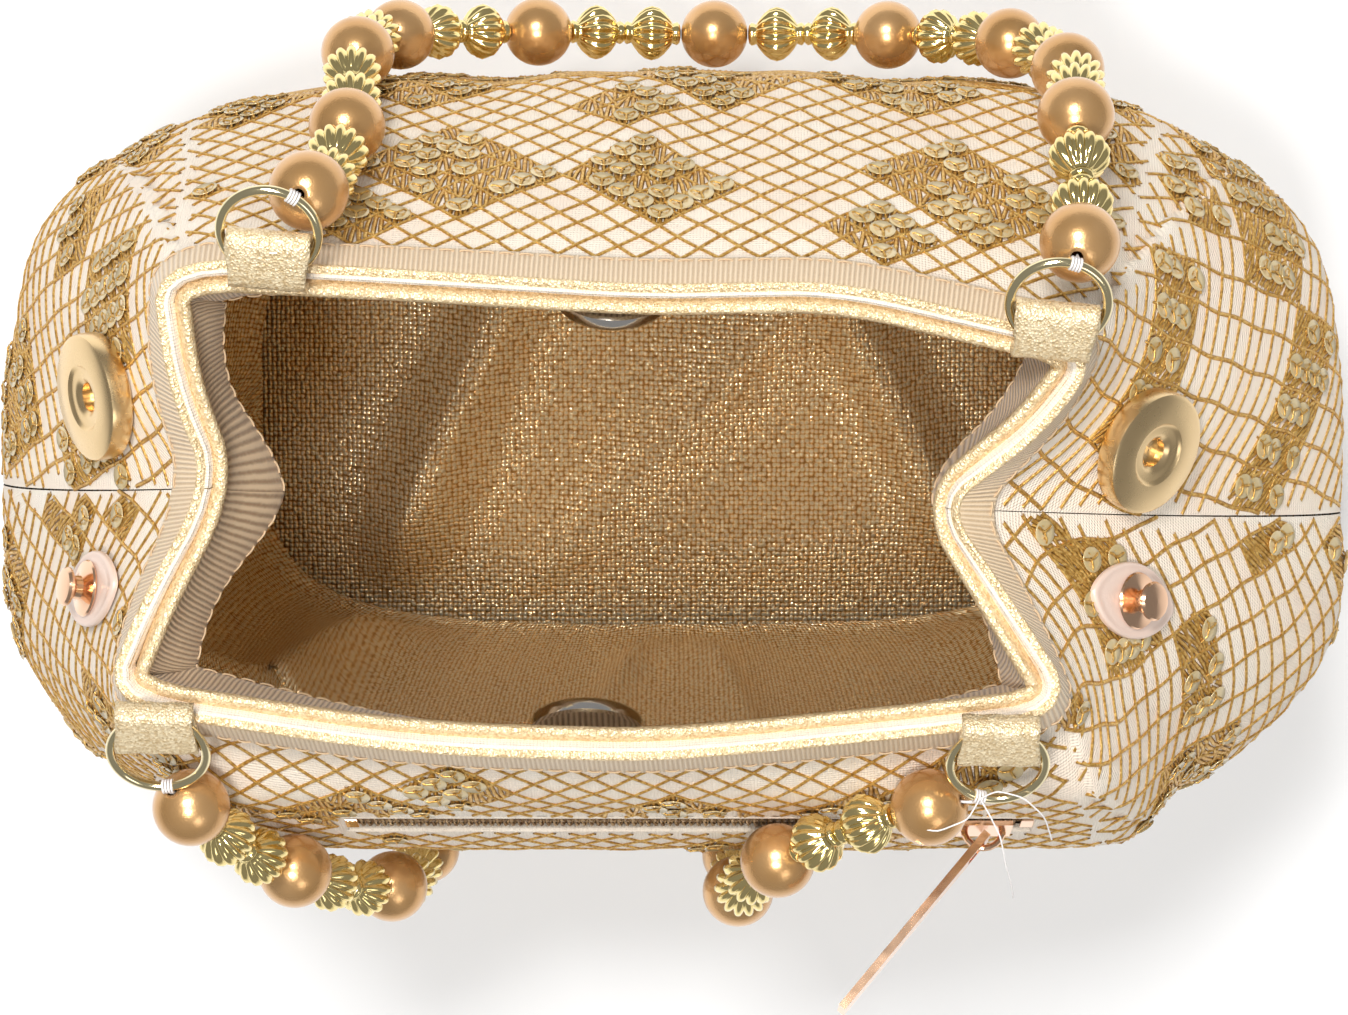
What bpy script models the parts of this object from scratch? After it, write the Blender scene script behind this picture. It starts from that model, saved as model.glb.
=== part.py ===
"""A beaded potli bag: a soft pouch with a wide open mouth, two strung bead handles on
rings, four fabric loops, magnetic snaps and a zipped front pocket.

Units are metres. +Z is up, +X runs along the mouth, -Y is the side with the zip.
The origin is the middle of the flat base, on the surface that the bag stands on.
"""
import math

import bmesh
import bpy
import numpy
from mathutils import Vector

# Bag body
BAG_HEIGHT = 0.165
BELLY_HEIGHT = 0.095
BELLY_HALF_LENGTH = 0.1135
BELLY_HALF_WIDTH_BACK = 0.0675
BELLY_HALF_WIDTH_FRONT = 0.063
BELLY_SQUARENESS = 3.3
BASE_HALF_LENGTH = 0.085
BASE_HALF_WIDTH = 0.0475
BASE_SQUARENESS = 4.0
UPPER_BULGE = 1.25
LOWER_BULGE = 2.6
PANEL_THICKNESS = 0.0016
BASE_THICKNESS = 0.0016
GAP = 0.0003

# Mouth outline: bearing on the belly in degrees, then X, Y and the sag below the rim height
MOUTH = [
    (180.5, -0.0690, 0.0090, 0.005),
    (163.0, -0.0743, 0.0237, 0.002),
    (143.0, -0.0767, 0.0424, 0.000),
    (122.5, -0.0408, 0.0402, 0.002),
    (93.5, -0.0050, 0.0378, 0.003),
    (65.5, 0.0247, 0.0384, 0.002),
    (47.5, 0.0486, 0.0328, 0.001),
    (36.5, 0.0629, 0.0295, 0.000),
    (22.0, 0.0549, 0.0180, 0.002),
    (-3.0, 0.0396, 0.0056, 0.005),
    (-20.0, 0.0491, -0.0081, 0.003),
    (-38.0, 0.0603, -0.0247, 0.000),
    (-50.0, 0.0433, -0.0273, 0.001),
    (-76.5, 0.0100, -0.0312, 0.003),
    (-93.5, -0.0052, -0.0323, 0.003),
    (-118.5, -0.0340, -0.0312, 0.002),
    (-131.5, -0.0537, -0.0289, 0.001),
    (-140.0, -0.0718, -0.0254, 0.000),
    (-148.0, -0.0857, -0.0238, 0.000),
    (-166.0, -0.0789, -0.0081, 0.003),
    (-179.5, -0.0690, 0.0090, 0.005),
]
MOUTH_ROUNDING = 6.0
LEFT_SEAM = 180.5
RIGHT_SEAM = -3.0
FULL_TURN = 360.0

# Lining, facing and rim band
LINING_THICKNESS = 0.0008
LINING_DEPTH_AT_RIM = 0.0021
LINING_DEPTH = 0.0056
LINING_DROP = 0.0012
LINING_DROP_IN = 0.34
FACING_THICKNESS = 0.0006
FACING_HEIGHT = 0.012
BAND_THICKNESS = 0.0007
BAND_HEIGHT = 0.008

# Front pocket and zip
ZIP_CENTER_X = 0.0025
ZIP_HEIGHT = 0.1295
ZIP_LENGTH = 0.112
ZIP_SLOT_HEIGHT = 0.0095
ZIP_PLANE_Y = -0.0515
ZIP_PLANE_TILT = 27.0
ZIP_FLAT_MARGIN = 0.0110
ZIP_FLAT_END = 0.016
ZIP_ROW_INSET = 0.0045
ZIP_FLAT_BLEND = 0.016
ZIP_FLAT_PULL = 0.007
ZIP_FLAT_PULL_BLEND = 0.010
TAPE_END = 0.003
TAPE_THICKNESS = 0.0005
TAPE_WIDTH = 0.0085
TAPE_GAP = 0.0014
COIL_WIDTH = 0.0016
COIL_THICKNESS = 0.0016
STOP_LENGTH = 0.0022
POCKET_MARGIN = 0.003
POCKET_DROP = 0.062
POCKET_CLOTH = 0.0005
SLIDER_LENGTH = 0.0090
SLIDER_WIDTH = 0.0078
SLIDER_PLATE = 0.0008
SLIDER_POST = 0.0006
BRIDGE_RADIUS = 0.0026
BRIDGE_WIRE = 0.0011
SLIDER_TO_END = 0.0085
PULLER_LENGTH = 0.037
PULLER_WIDTH = 0.0056
PULLER_THICKNESS = 0.0013
PULLER_EYE = 0.0040
PULLER_LIFT = 50.0

# Handles
RING_OUTER_DIAMETER = 0.016
RING_WIRE = 0.0015
RING_TILT_BACK = -28.0
RING_TILT_FRONT = 33.0
LOOP_WIDTH = 0.0120
LOOP_REACH = 0.0052
LOOP_CLOTH = 0.0006
LOOP_CLEARANCE = 0.00035
PEARL_DIAMETER = 0.0120
PEARLS = 11
FLUTED_DIAMETER = 0.0097
FLUTED_RIB = 0.0007
COLLAR_DIAMETER = 0.0040
THREAD_DIAMETER = 0.0012
BORE_CLEARANCE = 0.0005
BEAD_REST = 0.0009
TIE_OUTWARD = 1.2
TIE_DIAMETER = 0.0007
TIE_LENGTH = 0.0036
TIE_TURN = 290.0
TIE_CLEARANCE = 0.0005
BACK_LOOP_BEARINGS = (133.5, 41.5)
FRONT_LOOP_BEARINGS = (-144.0, -46.0)
BACK_ROOT = (0.0, 0.0027)
FRONT_ROOT = (0.0015, 0.0031)
BACK_ROUTE = [
    (-0.0540, 0.0535, 0.1625), (-0.0510, 0.0580, 0.1360), (-0.0515, 0.0670, 0.1080),
    (-0.0495, 0.0730, 0.0770), (-0.0335, 0.0735, 0.0545), (0.0005, 0.0725, 0.0430),
    (0.0335, 0.0720, 0.0475), (0.0560, 0.0715, 0.0730), (0.0640, 0.0690, 0.1060),
    (0.0620, 0.0630, 0.1395), (0.0600, 0.0450, 0.1670),
]
FRONT_ROUTE = [
    (-0.0765, -0.0400, 0.1590), (-0.0615, -0.0560, 0.1290), (-0.0470, -0.0700, 0.0990),
    (-0.0440, -0.0710, 0.0650), (-0.0370, -0.0680, 0.0320), (-0.0120, -0.0660, 0.0160),
    (0.0080, -0.0680, 0.0400), (0.0110, -0.0710, 0.0740), (0.0110, -0.0680, 0.1100),
    (0.0185, -0.0530, 0.1400), (0.0430, -0.0400, 0.1570),
]

# Snaps
MAGNET_DIAMETER = 0.018
MAGNET_THICKNESS = 0.0030
MAGNET_STUD_DIAMETER = 0.0060
MAGNET_STUD_HEIGHT = 0.0016
MAGNET_DROP = 0.005
MAGNET_BACK_BEARING = 97.0
MAGNET_FRONT_BEARING = -101.0
MAGNET_SINK = {"back": 0.0013, "front": 0.0008}
SOCKET_DIAMETER = 0.020
SOCKET_THICKNESS = 0.0040
SOCKET_BORE = 0.0044
STUD_FLANGE_DIAMETER = 0.0090
STUD_HEAD_DIAMETER = 0.0062
STUD_NECK_DIAMETER = 0.0036
STUD_HEIGHT = 0.0042
PETAL_LENGTH = 0.020
PETAL_WIDTH = 0.012
PETAL_THICKNESS = 0.0010
SIDE_SNAP_DEPTH = 0.33
SOCKET_BEARINGS = {"left": 169.0, "right": 7.0}
STUD_BEARINGS = {"left": -169.0, "right": -14.0}

# Mesh resolution
PANEL_COLUMNS = 32
UPPER_ROWS = 3
LOWER_ROWS = 6
ROUND_SIDES = 16
BEAD_SIDES = 10
PEARL_SIDES = 9
ROUTE_STEPS = 12
RING_STEPS = 20
WIRE_SIDES = 6


def clear_scene():
    for found in list(bpy.data.objects):
        bpy.data.objects.remove(found, do_unlink=True)


def material(name, color, roughness, metallic):
    made = bpy.data.materials.new(name)
    made.use_nodes = True
    shader = made.node_tree.nodes["Principled BSDF"]
    shader.inputs["Base Color"].default_value = (*color, 1.0)
    shader.inputs["Roughness"].default_value = roughness
    shader.inputs["Metallic"].default_value = metallic
    made.diffuse_color = (*color, 1.0)
    return made


def make_object(name, verts, faces, finish, smooth=True):
    """One closed mesh with its faces turned outward."""
    mesh = bpy.data.meshes.new(name)
    mesh.from_pydata([tuple(v) for v in verts], [], faces)
    work = bmesh.new()
    work.from_mesh(mesh)
    bmesh.ops.remove_doubles(work, verts=work.verts, dist=1e-6)
    bmesh.ops.recalc_face_normals(work, faces=work.faces)
    if work.calc_volume(signed=True) < 0:
        bmesh.ops.reverse_faces(work, faces=work.faces)
    work.to_mesh(mesh)
    work.free()
    if smooth:
        mesh.shade_smooth()
        mesh.set_sharp_from_angle(angle=math.radians(40))
    made = bpy.data.objects.new(name, mesh)
    bpy.context.scene.collection.objects.link(made)
    mesh.materials.append(finish)
    return made


# Shape of the bag

def superellipse(bearing, half_length, half_width, squareness):
    """Point of a superellipse at a polar bearing in degrees."""
    angle = math.radians(bearing)
    across = abs(math.cos(angle) / half_length) ** squareness
    along = abs(math.sin(angle) / half_width) ** squareness
    radius = (across + along) ** (-1.0 / squareness)
    return Vector((radius * math.cos(angle), radius * math.sin(angle), 0.0))


def belly_point(bearing):
    on_back = math.sin(math.radians(bearing)) > 0
    width = BELLY_HALF_WIDTH_BACK if on_back else BELLY_HALF_WIDTH_FRONT
    point = superellipse(bearing, BELLY_HALF_LENGTH, width, BELLY_SQUARENESS)
    point.z = BELLY_HEIGHT
    return point


def base_point(bearing):
    return superellipse(bearing, BASE_HALF_LENGTH, BASE_HALF_WIDTH, BASE_SQUARENESS)


def mouth_polyline(bearing):
    """Straight runs between the mouth's points, at a bearing wrapped into one turn."""
    while bearing > LEFT_SEAM:
        bearing -= FULL_TURN
    while bearing < LEFT_SEAM - FULL_TURN:
        bearing += FULL_TURN
    for first, second in zip(MOUTH, MOUTH[1:]):
        if second[0] <= bearing <= first[0]:
            share = (first[0] - bearing) / (first[0] - second[0])
            start = Vector((first[1], first[2], BAG_HEIGHT - first[3]))
            end = Vector((second[1], second[2], BAG_HEIGHT - second[3]))
            return start.lerp(end, share)
    return Vector((MOUTH[0][1], MOUTH[0][2], BAG_HEIGHT - MOUTH[0][3]))


def mouth_point(bearing):
    """The mouth's straight runs with their corners rounded."""
    steps = (-1.0, -0.5, 0.0, 0.5, 1.0)
    total = Vector()
    for step in steps:
        total += mouth_polyline(bearing + step * MOUTH_ROUNDING)
    return total / len(steps)


def smooth_step(value):
    value = min(1.0, max(0.0, value))
    return value * value * (3.0 - 2.0 * value)


def zip_axes():
    """Middle of the zip on the panel's face, the panel's up direction and its normal there."""
    tilt = math.radians(ZIP_PLANE_TILT)
    center = Vector((ZIP_CENTER_X, ZIP_PLANE_Y, ZIP_HEIGHT))
    up = Vector((0.0, math.sin(tilt), math.cos(tilt)))
    normal = Vector((0.0, -math.cos(tilt), math.sin(tilt)))
    return center, up, normal


def raw_surface(bearing, depth):
    """Outer face without the zip's flat: depth 0 at the rim, 1 at the belly, 2 at the base."""
    belly = belly_point(bearing)
    if depth <= 1.0:
        mouth = mouth_point(bearing)
        spread = 1.0 - (1.0 - depth) ** UPPER_BULGE
        point = mouth.lerp(belly, spread)
        point.z = mouth.z + (belly.z - mouth.z) * depth
        return point
    turn = (depth - 1.0) * math.pi / 2
    inward = math.cos(turn) ** (2.0 / LOWER_BULGE) if depth < 2.0 else 0.0
    downward = math.sin(turn) ** (2.0 / LOWER_BULGE)
    point = base_point(bearing).lerp(belly, inward)
    point.z = BELLY_HEIGHT * (1.0 - downward)
    return point


def surface(bearing, depth):
    """Outer face of the bag, pulled flat around the zip."""
    point = raw_surface(bearing, depth)
    if point.y > 0 or depth > 1.6:
        return point
    center, up, normal = zip_axes()
    offset = point - center
    beyond_x = abs(offset.x) - (ZIP_LENGTH / 2 + ZIP_FLAT_END)
    beyond_up = abs(offset.dot(up)) - (ZIP_SLOT_HEIGHT / 2 + ZIP_FLAT_MARGIN)
    weight = 1.0 - smooth_step(max(beyond_x, 0.0) / ZIP_FLAT_BLEND)
    weight *= 1.0 - smooth_step(max(beyond_up, 0.0) / ZIP_FLAT_BLEND)
    beyond_pull = abs(offset.dot(normal)) - ZIP_FLAT_PULL
    weight *= 1.0 - smooth_step(beyond_pull / ZIP_FLAT_PULL_BLEND)
    return point - normal * offset.dot(normal) * weight


def surface_normal(bearing, depth):
    """Outward normal of the outer face."""
    turn_step = 4.5
    depth_step = 0.01
    low = max(depth - depth_step, 0.0)
    high = min(depth + depth_step, 2.0)
    across = surface(bearing - turn_step, depth) - surface(bearing + turn_step, depth)
    down = surface(bearing, high) - surface(bearing, low)
    return across.cross(down).normalized()


def offset_point(bearing, depth, outward):
    return surface(bearing, depth) + surface_normal(bearing, depth) * outward


def depth_at_drop(bearing, drop):
    """Depth value at a distance below the rim, measured along the outer face."""
    walked = 0.0
    step = 0.02
    depth = 0.0
    last = surface(bearing, 0.0)
    while walked < drop and depth < 2.0:
        depth += step
        here = surface(bearing, depth)
        walked += (here - last).length
        last = here
    return depth


def loft(rows, closed, cap_first=False, cap_last=False, turned_row=None):
    """Faces that join rows of points; each row is closed or open around.

    From turned_row on, the rows run back up, so their faces split the other way.
    """
    count = len(rows[0])
    verts = [point for row in rows for point in row]
    faces = []
    span = count if closed else count - 1
    for row in range(len(rows) - 1):
        for column in range(span):
            following = (column + 1) % count
            low = row * count
            high = low + count
            a, b, c, d = low + column, low + following, high + following, high + column
            if turned_row is not None and row >= turned_row:
                faces += [(a, b, d), (b, c, d)]
            else:
                faces += [(a, b, c), (a, c, d)]
    if cap_first:
        faces.append(tuple(range(count)))
    if cap_last:
        start = (len(rows) - 1) * count
        faces.append(tuple(range(start + count - 1, start - 1, -1)))
    return verts, faces


def shell(name, bearings, depths, outer, inner, finish, closed=False):
    """A sheet with a thickness: outer and inner give the offset at a bearing and a depth."""
    verts = []
    faces = []
    columns = len(bearings)
    rows = len(depths(bearings[0]))
    for offset in (outer, inner):
        for bearing in bearings:
            for depth in depths(bearing):
                verts.append(offset_point(bearing, depth, offset(bearing, depth)))
    inner_start = columns * rows
    span = columns if closed else columns - 1
    for column in range(span):
        following = (column + 1) % columns
        for row in range(rows - 1):
            a = column * rows + row
            b = following * rows + row
            faces += [(a, a + 1, b + 1), (a, b + 1, b)]
            a += inner_start
            b += inner_start
            faces += [(a, b + 1, a + 1), (a, b, b + 1)]
        top_a = column * rows
        top_b = following * rows
        faces.append((top_a, top_b, inner_start + top_b, inner_start + top_a))
        low_a = top_a + rows - 1
        low_b = top_b + rows - 1
        faces.append((low_a, inner_start + low_a, inner_start + low_b, low_b))
    if not closed:
        for column in (0, columns - 1):
            for row in range(rows - 1):
                a = column * rows + row
                faces.append((a, inner_start + a, inner_start + a + 1, a + 1))
    return make_object(name, verts, faces, finish)


def spread(first, last, count):
    return [first + (last - first) * index / (count - 1) for index in range(count)]


def rim_rows(bearing):
    """Depths of the rim, the lining's top and the lower edges of the band and the facing."""
    drops = (LINING_DROP, BAND_HEIGHT, FACING_HEIGHT)
    return [0.0] + [depth_at_drop(bearing, drop) for drop in drops]


def zip_rows(bearing):
    """Depths level with the upper and the lower edge of the zip's flat."""
    top = mouth_point(bearing).z
    reach = ZIP_SLOT_HEIGHT / 2 + ZIP_FLAT_MARGIN - ZIP_ROW_INSET
    half = reach * math.cos(math.radians(ZIP_PLANE_TILT))
    edges = (ZIP_HEIGHT + half, ZIP_HEIGHT - half)
    return [(top - height) / (top - BELLY_HEIGHT) for height in edges]


def panel_depths(bearing):
    zone = zip_rows(bearing)
    upper = spread(zone[-1], 1.0, UPPER_ROWS)[1:]
    lower = spread(1.0, 2.0, LOWER_ROWS + 1)[1:]
    return rim_rows(bearing) + zone + upper + lower


def seam_trim():
    """Half of the seam's gap, as degrees of bearing at the belly."""
    return math.degrees(GAP / 2 / BELLY_HALF_LENGTH)


def ring_bearings():
    """Bearings all the way round, the same as the two panels' columns."""
    back = spread(LEFT_SEAM, RIGHT_SEAM, PANEL_COLUMNS + 1)
    front = spread(RIGHT_SEAM, LEFT_SEAM - FULL_TURN, PANEL_COLUMNS + 1)
    return back[:-1] + front[:-1]


def make_panels(finish):
    """Back and front panels, which meet at the side seams."""
    def outer(bearing, depth):
        return 0.0

    def inner(bearing, depth):
        return -PANEL_THICKNESS

    trim = seam_trim()
    back = spread(LEFT_SEAM - trim, RIGHT_SEAM + trim, PANEL_COLUMNS + 1)
    front = spread(RIGHT_SEAM - trim, LEFT_SEAM - FULL_TURN + trim, PANEL_COLUMNS + 1)
    shell("back_panel", back, panel_depths, outer, inner, finish)
    panel = shell("front_panel", front, panel_depths, outer, inner, finish)
    cut_slot(panel)


def oriented_box(name, center, size, axes, finish, bevel=0.0):
    """Box with its own three axes; size is its whole length along each."""
    verts = []
    for x in (-0.5, 0.5):
        for y in (-0.5, 0.5):
            for z in (-0.5, 0.5):
                point = center.copy()
                point += axes[0] * (x * size[0])
                point += axes[1] * (y * size[1])
                point += axes[2] * (z * size[2])
                verts.append(point)
    faces = [(0, 1, 3, 2), (4, 6, 7, 5), (0, 4, 5, 1), (2, 3, 7, 6), (0, 2, 6, 4), (1, 5, 7, 3)]
    made = make_object(name, verts, faces, finish, smooth=False)
    if bevel:
        edge = made.modifiers.new("rounded edges", "BEVEL")
        edge.width = bevel
        edge.segments = 2
    return made


def cut_slot(panel):
    """The zip's opening through the front panel."""
    center, up, normal = zip_axes()
    size = (ZIP_LENGTH, ZIP_SLOT_HEIGHT, PANEL_THICKNESS * 6)
    axes = (Vector((1, 0, 0)), up, normal)
    cutter = oriented_box("zip_slot_cutter", center, size, axes, panel.data.materials[0])
    cutter.hide_render = True
    cutter.display_type = "WIRE"
    cut = panel.modifiers.new("zip slot", "BOOLEAN")
    cut.object = cutter
    cut.operation = "DIFFERENCE"


def make_base(finish):
    """Flat stiffened base inside the panels' turned lower edges."""
    bearings = ring_bearings()
    outline = []
    for bearing in bearings:
        edge = base_point(bearing)
        outline.append(edge - edge.normalized() * GAP)
    lift = Vector((0, 0, BASE_THICKNESS))
    rows = [outline, [point + lift for point in outline]]
    verts, faces = loft(rows, True, True, True)
    make_object("base_panel", verts, faces, finish, smooth=False)


def lining_offset(depth):
    share = smooth_step(depth / LINING_DROP_IN)
    return -(LINING_DEPTH_AT_RIM + (LINING_DEPTH - LINING_DEPTH_AT_RIM) * share)


def make_lining(finish):
    """One cup of lurex cloth that hangs inside the panels and lies on the base."""
    bearings = ring_bearings()
    floor_height = BASE_THICKNESS + GAP
    rows = []

    def lining_depths(bearing):
        return rim_rows(bearing)[1:] + zip_rows(bearing) + [1.0, 1.33, 1.6, 1.83]

    columns = [lining_depths(bearing) for bearing in bearings]

    def ring(row, extra):
        points = []
        for bearing, depths in zip(bearings, columns):
            point = offset_point(bearing, depths[row], lining_offset(depths[row]) - extra)
            point.z = max(point.z, floor_height + extra)
            points.append(point)
        return points

    for row in range(len(columns[0])):
        rows.append(ring(row, 0.0))
    floor_share = 0.93
    for extra, order in ((0.0, 1), (LINING_THICKNESS, -1)):
        floor_row = []
        for bearing in bearings:
            point = base_point(bearing) * floor_share
            point.z = floor_height + extra
            floor_row.append(point)
        center = [Vector((0.0, 0.0, floor_height + extra))] * len(bearings)
        if order == 1:
            rows += [floor_row, center]
        else:
            rows += [center, floor_row]
    for row in reversed(range(len(columns[0]))):
        rows.append(ring(row, LINING_THICKNESS))
    verts, faces = loft(rows + [rows[0]], True, turned_row=len(columns[0]) + 2)
    make_object("lining", verts, faces, finish)


def make_facing(finish):
    """Ribbed strip that covers the lining's top edge inside the mouth."""
    bearings = ring_bearings()

    def outer(bearing, depth):
        return lining_offset(depth) - LINING_THICKNESS - GAP

    def inner(bearing, depth):
        return outer(bearing, depth) - FACING_THICKNESS

    shell("lining_facing", bearings, rim_rows, outer, inner, finish, closed=True)


def make_band(finish):
    """Ribbed band sewn round the outside of the rim."""
    bearings = ring_bearings()

    def depths(bearing):
        return rim_rows(bearing)[:3]

    def outer(bearing, depth):
        return GAP + BAND_THICKNESS

    def inner(bearing, depth):
        return GAP

    shell("rim_band", bearings, depths, outer, inner, finish, closed=True)


# Front pocket

def make_zip(tape, coil, metal):
    """Tapes behind the slot, two rows of coil, end stops, slider and puller."""
    center, up, normal = zip_axes()
    along = Vector((1, 0, 0))
    axes = (along, up, normal)
    tape_back = -PANEL_THICKNESS - GAP - TAPE_THICKNESS / 2
    coil_level = tape_back + TAPE_THICKNESS / 2 + GAP + COIL_THICKNESS / 2
    tape_length = ZIP_LENGTH + 2 * TAPE_END
    for name, side in (("upper", 1), ("lower", -1)):
        middle = side * (TAPE_GAP / 2 + TAPE_WIDTH / 2)
        place = center + up * middle + normal * tape_back
        oriented_box("zip_tape_" + name, place, (tape_length, TAPE_WIDTH, TAPE_THICKNESS), axes, tape)
        row = side * (TAPE_GAP / 2 + COIL_WIDTH / 2)
        place = center + up * row + normal * coil_level
        length = ZIP_LENGTH - 2 * STOP_LENGTH - 6 * GAP
        oriented_box("zip_coil_" + name, place, (length, COIL_WIDTH, COIL_THICKNESS), axes, coil)
    stop_x = ZIP_LENGTH / 2 - STOP_LENGTH / 2 - GAP
    stop_width = TAPE_GAP + 2 * COIL_WIDTH
    for name, side in (("left", -1), ("right", 1)):
        place = center + along * (side * stop_x) + normal * coil_level
        size = (STOP_LENGTH, stop_width, COIL_THICKNESS)
        oriented_box("zip_stop_" + name, place, size, axes, metal, 0.0002)
    make_pocket(tape, center, up, normal)
    make_slider(metal, center, up, normal, coil_level)


def make_pocket(cloth, center, up, normal):
    """Pocket bag: one cloth hung behind the zip, folded up at its lower end."""
    level_front = -PANEL_THICKNESS - 2 * GAP - TAPE_THICKNESS - POCKET_CLOTH
    level_back = level_front - POCKET_CLOTH * 2 - GAP
    top = TAPE_WIDTH + TAPE_GAP
    front_top = -(SLIDER_WIDTH / 2 + 4 * GAP)
    half_width = ZIP_LENGTH / 2 + POCKET_MARGIN
    columns = spread(-half_width, half_width, 11)
    steps = 6
    bearing_low = -92.0

    def follow(x, height):
        """Point at the panel's outer face at an X and a distance up from the zip."""
        if height > -(ZIP_SLOT_HEIGHT / 2 + ZIP_FLAT_MARGIN):
            return center + Vector((x, 0, 0)) + up * height, normal
        start = ZIP_SLOT_HEIGHT / 2 + ZIP_FLAT_MARGIN
        bearing = bearing_low
        for _ in range(24):
            here = surface(bearing, 1.0)
            bearing += math.degrees((ZIP_CENTER_X + x - here.x) / BELLY_HALF_WIDTH_FRONT) * 0.5
        share = (-height - start) / POCKET_DROP
        depth = 0.75 + 0.8 * share
        return surface(bearing, depth), surface_normal(bearing, depth)

    def row(height, level):
        points = []
        for x in columns:
            base, out = follow(x, height)
            points.append(base + out * level)
        return points

    heights_front = spread(front_top, -POCKET_DROP, steps)
    heights_back = spread(-POCKET_DROP, top, steps + 2)
    outer_rows = [row(h, level_front) for h in heights_front]
    back_outer = [row(h, level_back) for h in heights_back]
    back_inner = [row(h, level_back + POCKET_CLOTH) for h in reversed(heights_back[1:])]
    fold_height = -POCKET_DROP + POCKET_CLOTH * 2
    fold = [row(fold_height, level_back + POCKET_CLOTH), row(fold_height, level_front - POCKET_CLOTH)]
    front_inner = [row(h, level_front - POCKET_CLOTH) for h in reversed(heights_front[:-1])]
    rows = outer_rows + back_outer + back_inner + fold + front_inner
    count = len(columns)
    verts, faces = loft(rows + [rows[0]], False)
    total = len(rows)
    for column in (0, count - 1):
        faces.append(tuple(index * count + column for index in range(total)))
    make_object("pocket_bag", verts, faces, cloth)


def extrude_profile(profile, axes, center, half_length):
    """Prism along the first axis from a closed profile in the other two."""
    rows = []
    for side in (-1, 1):
        points = []
        for across, out in profile:
            points.append(center + axes[0] * (side * half_length) + axes[1] * across + axes[2] * out)
        rows.append(points)
    return loft(rows, True, True, True)


def make_slider(metal, center, up, normal, coil_level):
    """Slider with its plates above and below the coils, its post and its pull bridge."""
    along = Vector((1, 0, 0))
    place = center + along * (ZIP_LENGTH / 2 - SLIDER_TO_END)
    top = coil_level + COIL_THICKNESS / 2 + GAP
    bottom = coil_level - COIL_THICKNESS / 2 - GAP - TAPE_THICKNESS - GAP
    half = SLIDER_WIDTH / 2
    post = SLIDER_POST / 2
    profile = [(-half, top), (-post, top), (-post, bottom), (-half, bottom)]
    profile += [(-half, bottom - SLIDER_PLATE), (half, bottom - SLIDER_PLATE)]
    profile += [(half, bottom), (post, bottom), (post, top), (half, top)]
    profile += [(half, top + SLIDER_PLATE), (-half, top + SLIDER_PLATE)]
    axes = (along, up, normal)
    verts, faces = extrude_profile(profile, axes, place, SLIDER_LENGTH / 2)
    slider = make_object("zip_slider", verts, faces, metal, smooth=False)
    face = top + SLIDER_PLATE
    pivot = place + normal * (face + BRIDGE_RADIUS * 0.5)
    bridge_center = place + normal * (face - BRIDGE_WIRE * 0.3)
    rows = []
    arc = 10
    for index in range(arc + 1):
        turn = math.pi * index / arc
        radial = along * math.cos(turn) + normal * math.sin(turn)
        spine = bridge_center + radial * (BRIDGE_RADIUS + BRIDGE_WIRE / 2)
        ring = []
        for side in range(8):
            angle = 2 * math.pi * side / 8
            ring.append(spine + (radial * math.cos(angle) + up * math.sin(angle)) * BRIDGE_WIRE / 2)
        rows.append(ring)
    verts, faces = loft(rows, True, True, True)
    bridge = make_object("zip_bridge_guide", verts, faces, metal)
    bridge.hide_render = True
    bridge.display_type = "WIRE"
    join = slider.modifiers.new("pull bridge", "BOOLEAN")
    join.object = bridge
    join.operation = "UNION"
    make_puller(metal, pivot, up, normal)


def make_puller(metal, pivot, up, normal):
    """Flat bar that turns on the slider's bridge; its eye goes round the bridge."""
    lift = math.radians(PULLER_LIFT)
    along = Vector((-math.cos(lift), 0, 0)) + normal * math.sin(lift)
    across = up
    out = along.cross(across).normalized()
    if out.dot(normal) < 0:
        out = -out
    bar = PULLER_THICKNESS
    middle = pivot + along * (PULLER_LENGTH / 2 - bar / 2)
    axes = (along, across, out)
    size = (PULLER_LENGTH, PULLER_WIDTH, PULLER_THICKNESS)
    puller = oriented_box("zip_puller", middle, size, axes, metal)
    eye_center = pivot + along * (bar / 2 + PULLER_EYE / 2)
    eye_size = (PULLER_EYE, BRIDGE_WIRE + 6 * GAP, PULLER_THICKNESS * 3)
    cutter = oriented_box("zip_puller_eye_cutter", eye_center, eye_size, axes, metal)
    cutter.hide_render = True
    cutter.display_type = "WIRE"
    cut = puller.modifiers.new("eye", "BOOLEAN")
    cut.object = cutter
    cut.operation = "DIFFERENCE"


# Handles

def handle_axis(bearings, place):
    """Hinge line through the roots of a handle's two loops, just above the rim."""
    out, rise = place
    roots = []
    for bearing in bearings:
        normal = surface_normal(bearing, 0.0)
        level = Vector((normal.x, normal.y, 0.0)).normalized()
        roots.append(surface(bearing, 0.0) + level * out + Vector((0, 0, rise)))
    axis = (roots[1] - roots[0]).normalized()
    return roots, axis


def loop_and_ring_frames(bearings, place, tilt):
    """For each loop: its root, the axis and the direction in which ring and loop point."""
    roots, axis = handle_axis(bearings, place)
    outward = axis.cross(Vector((0, 0, 1))).normalized()
    middle = (roots[0] + roots[1]) / 2
    if outward.dot(Vector((0, middle.y, 0))) < 0:
        outward = -outward
    angle = math.radians(tilt)
    reach = outward * math.cos(angle) - Vector((0, 0, 1)) * math.sin(angle)
    lift = axis.cross(reach).normalized()
    if lift.z < 0:
        lift = -lift
    return roots, axis, reach, lift


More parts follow.
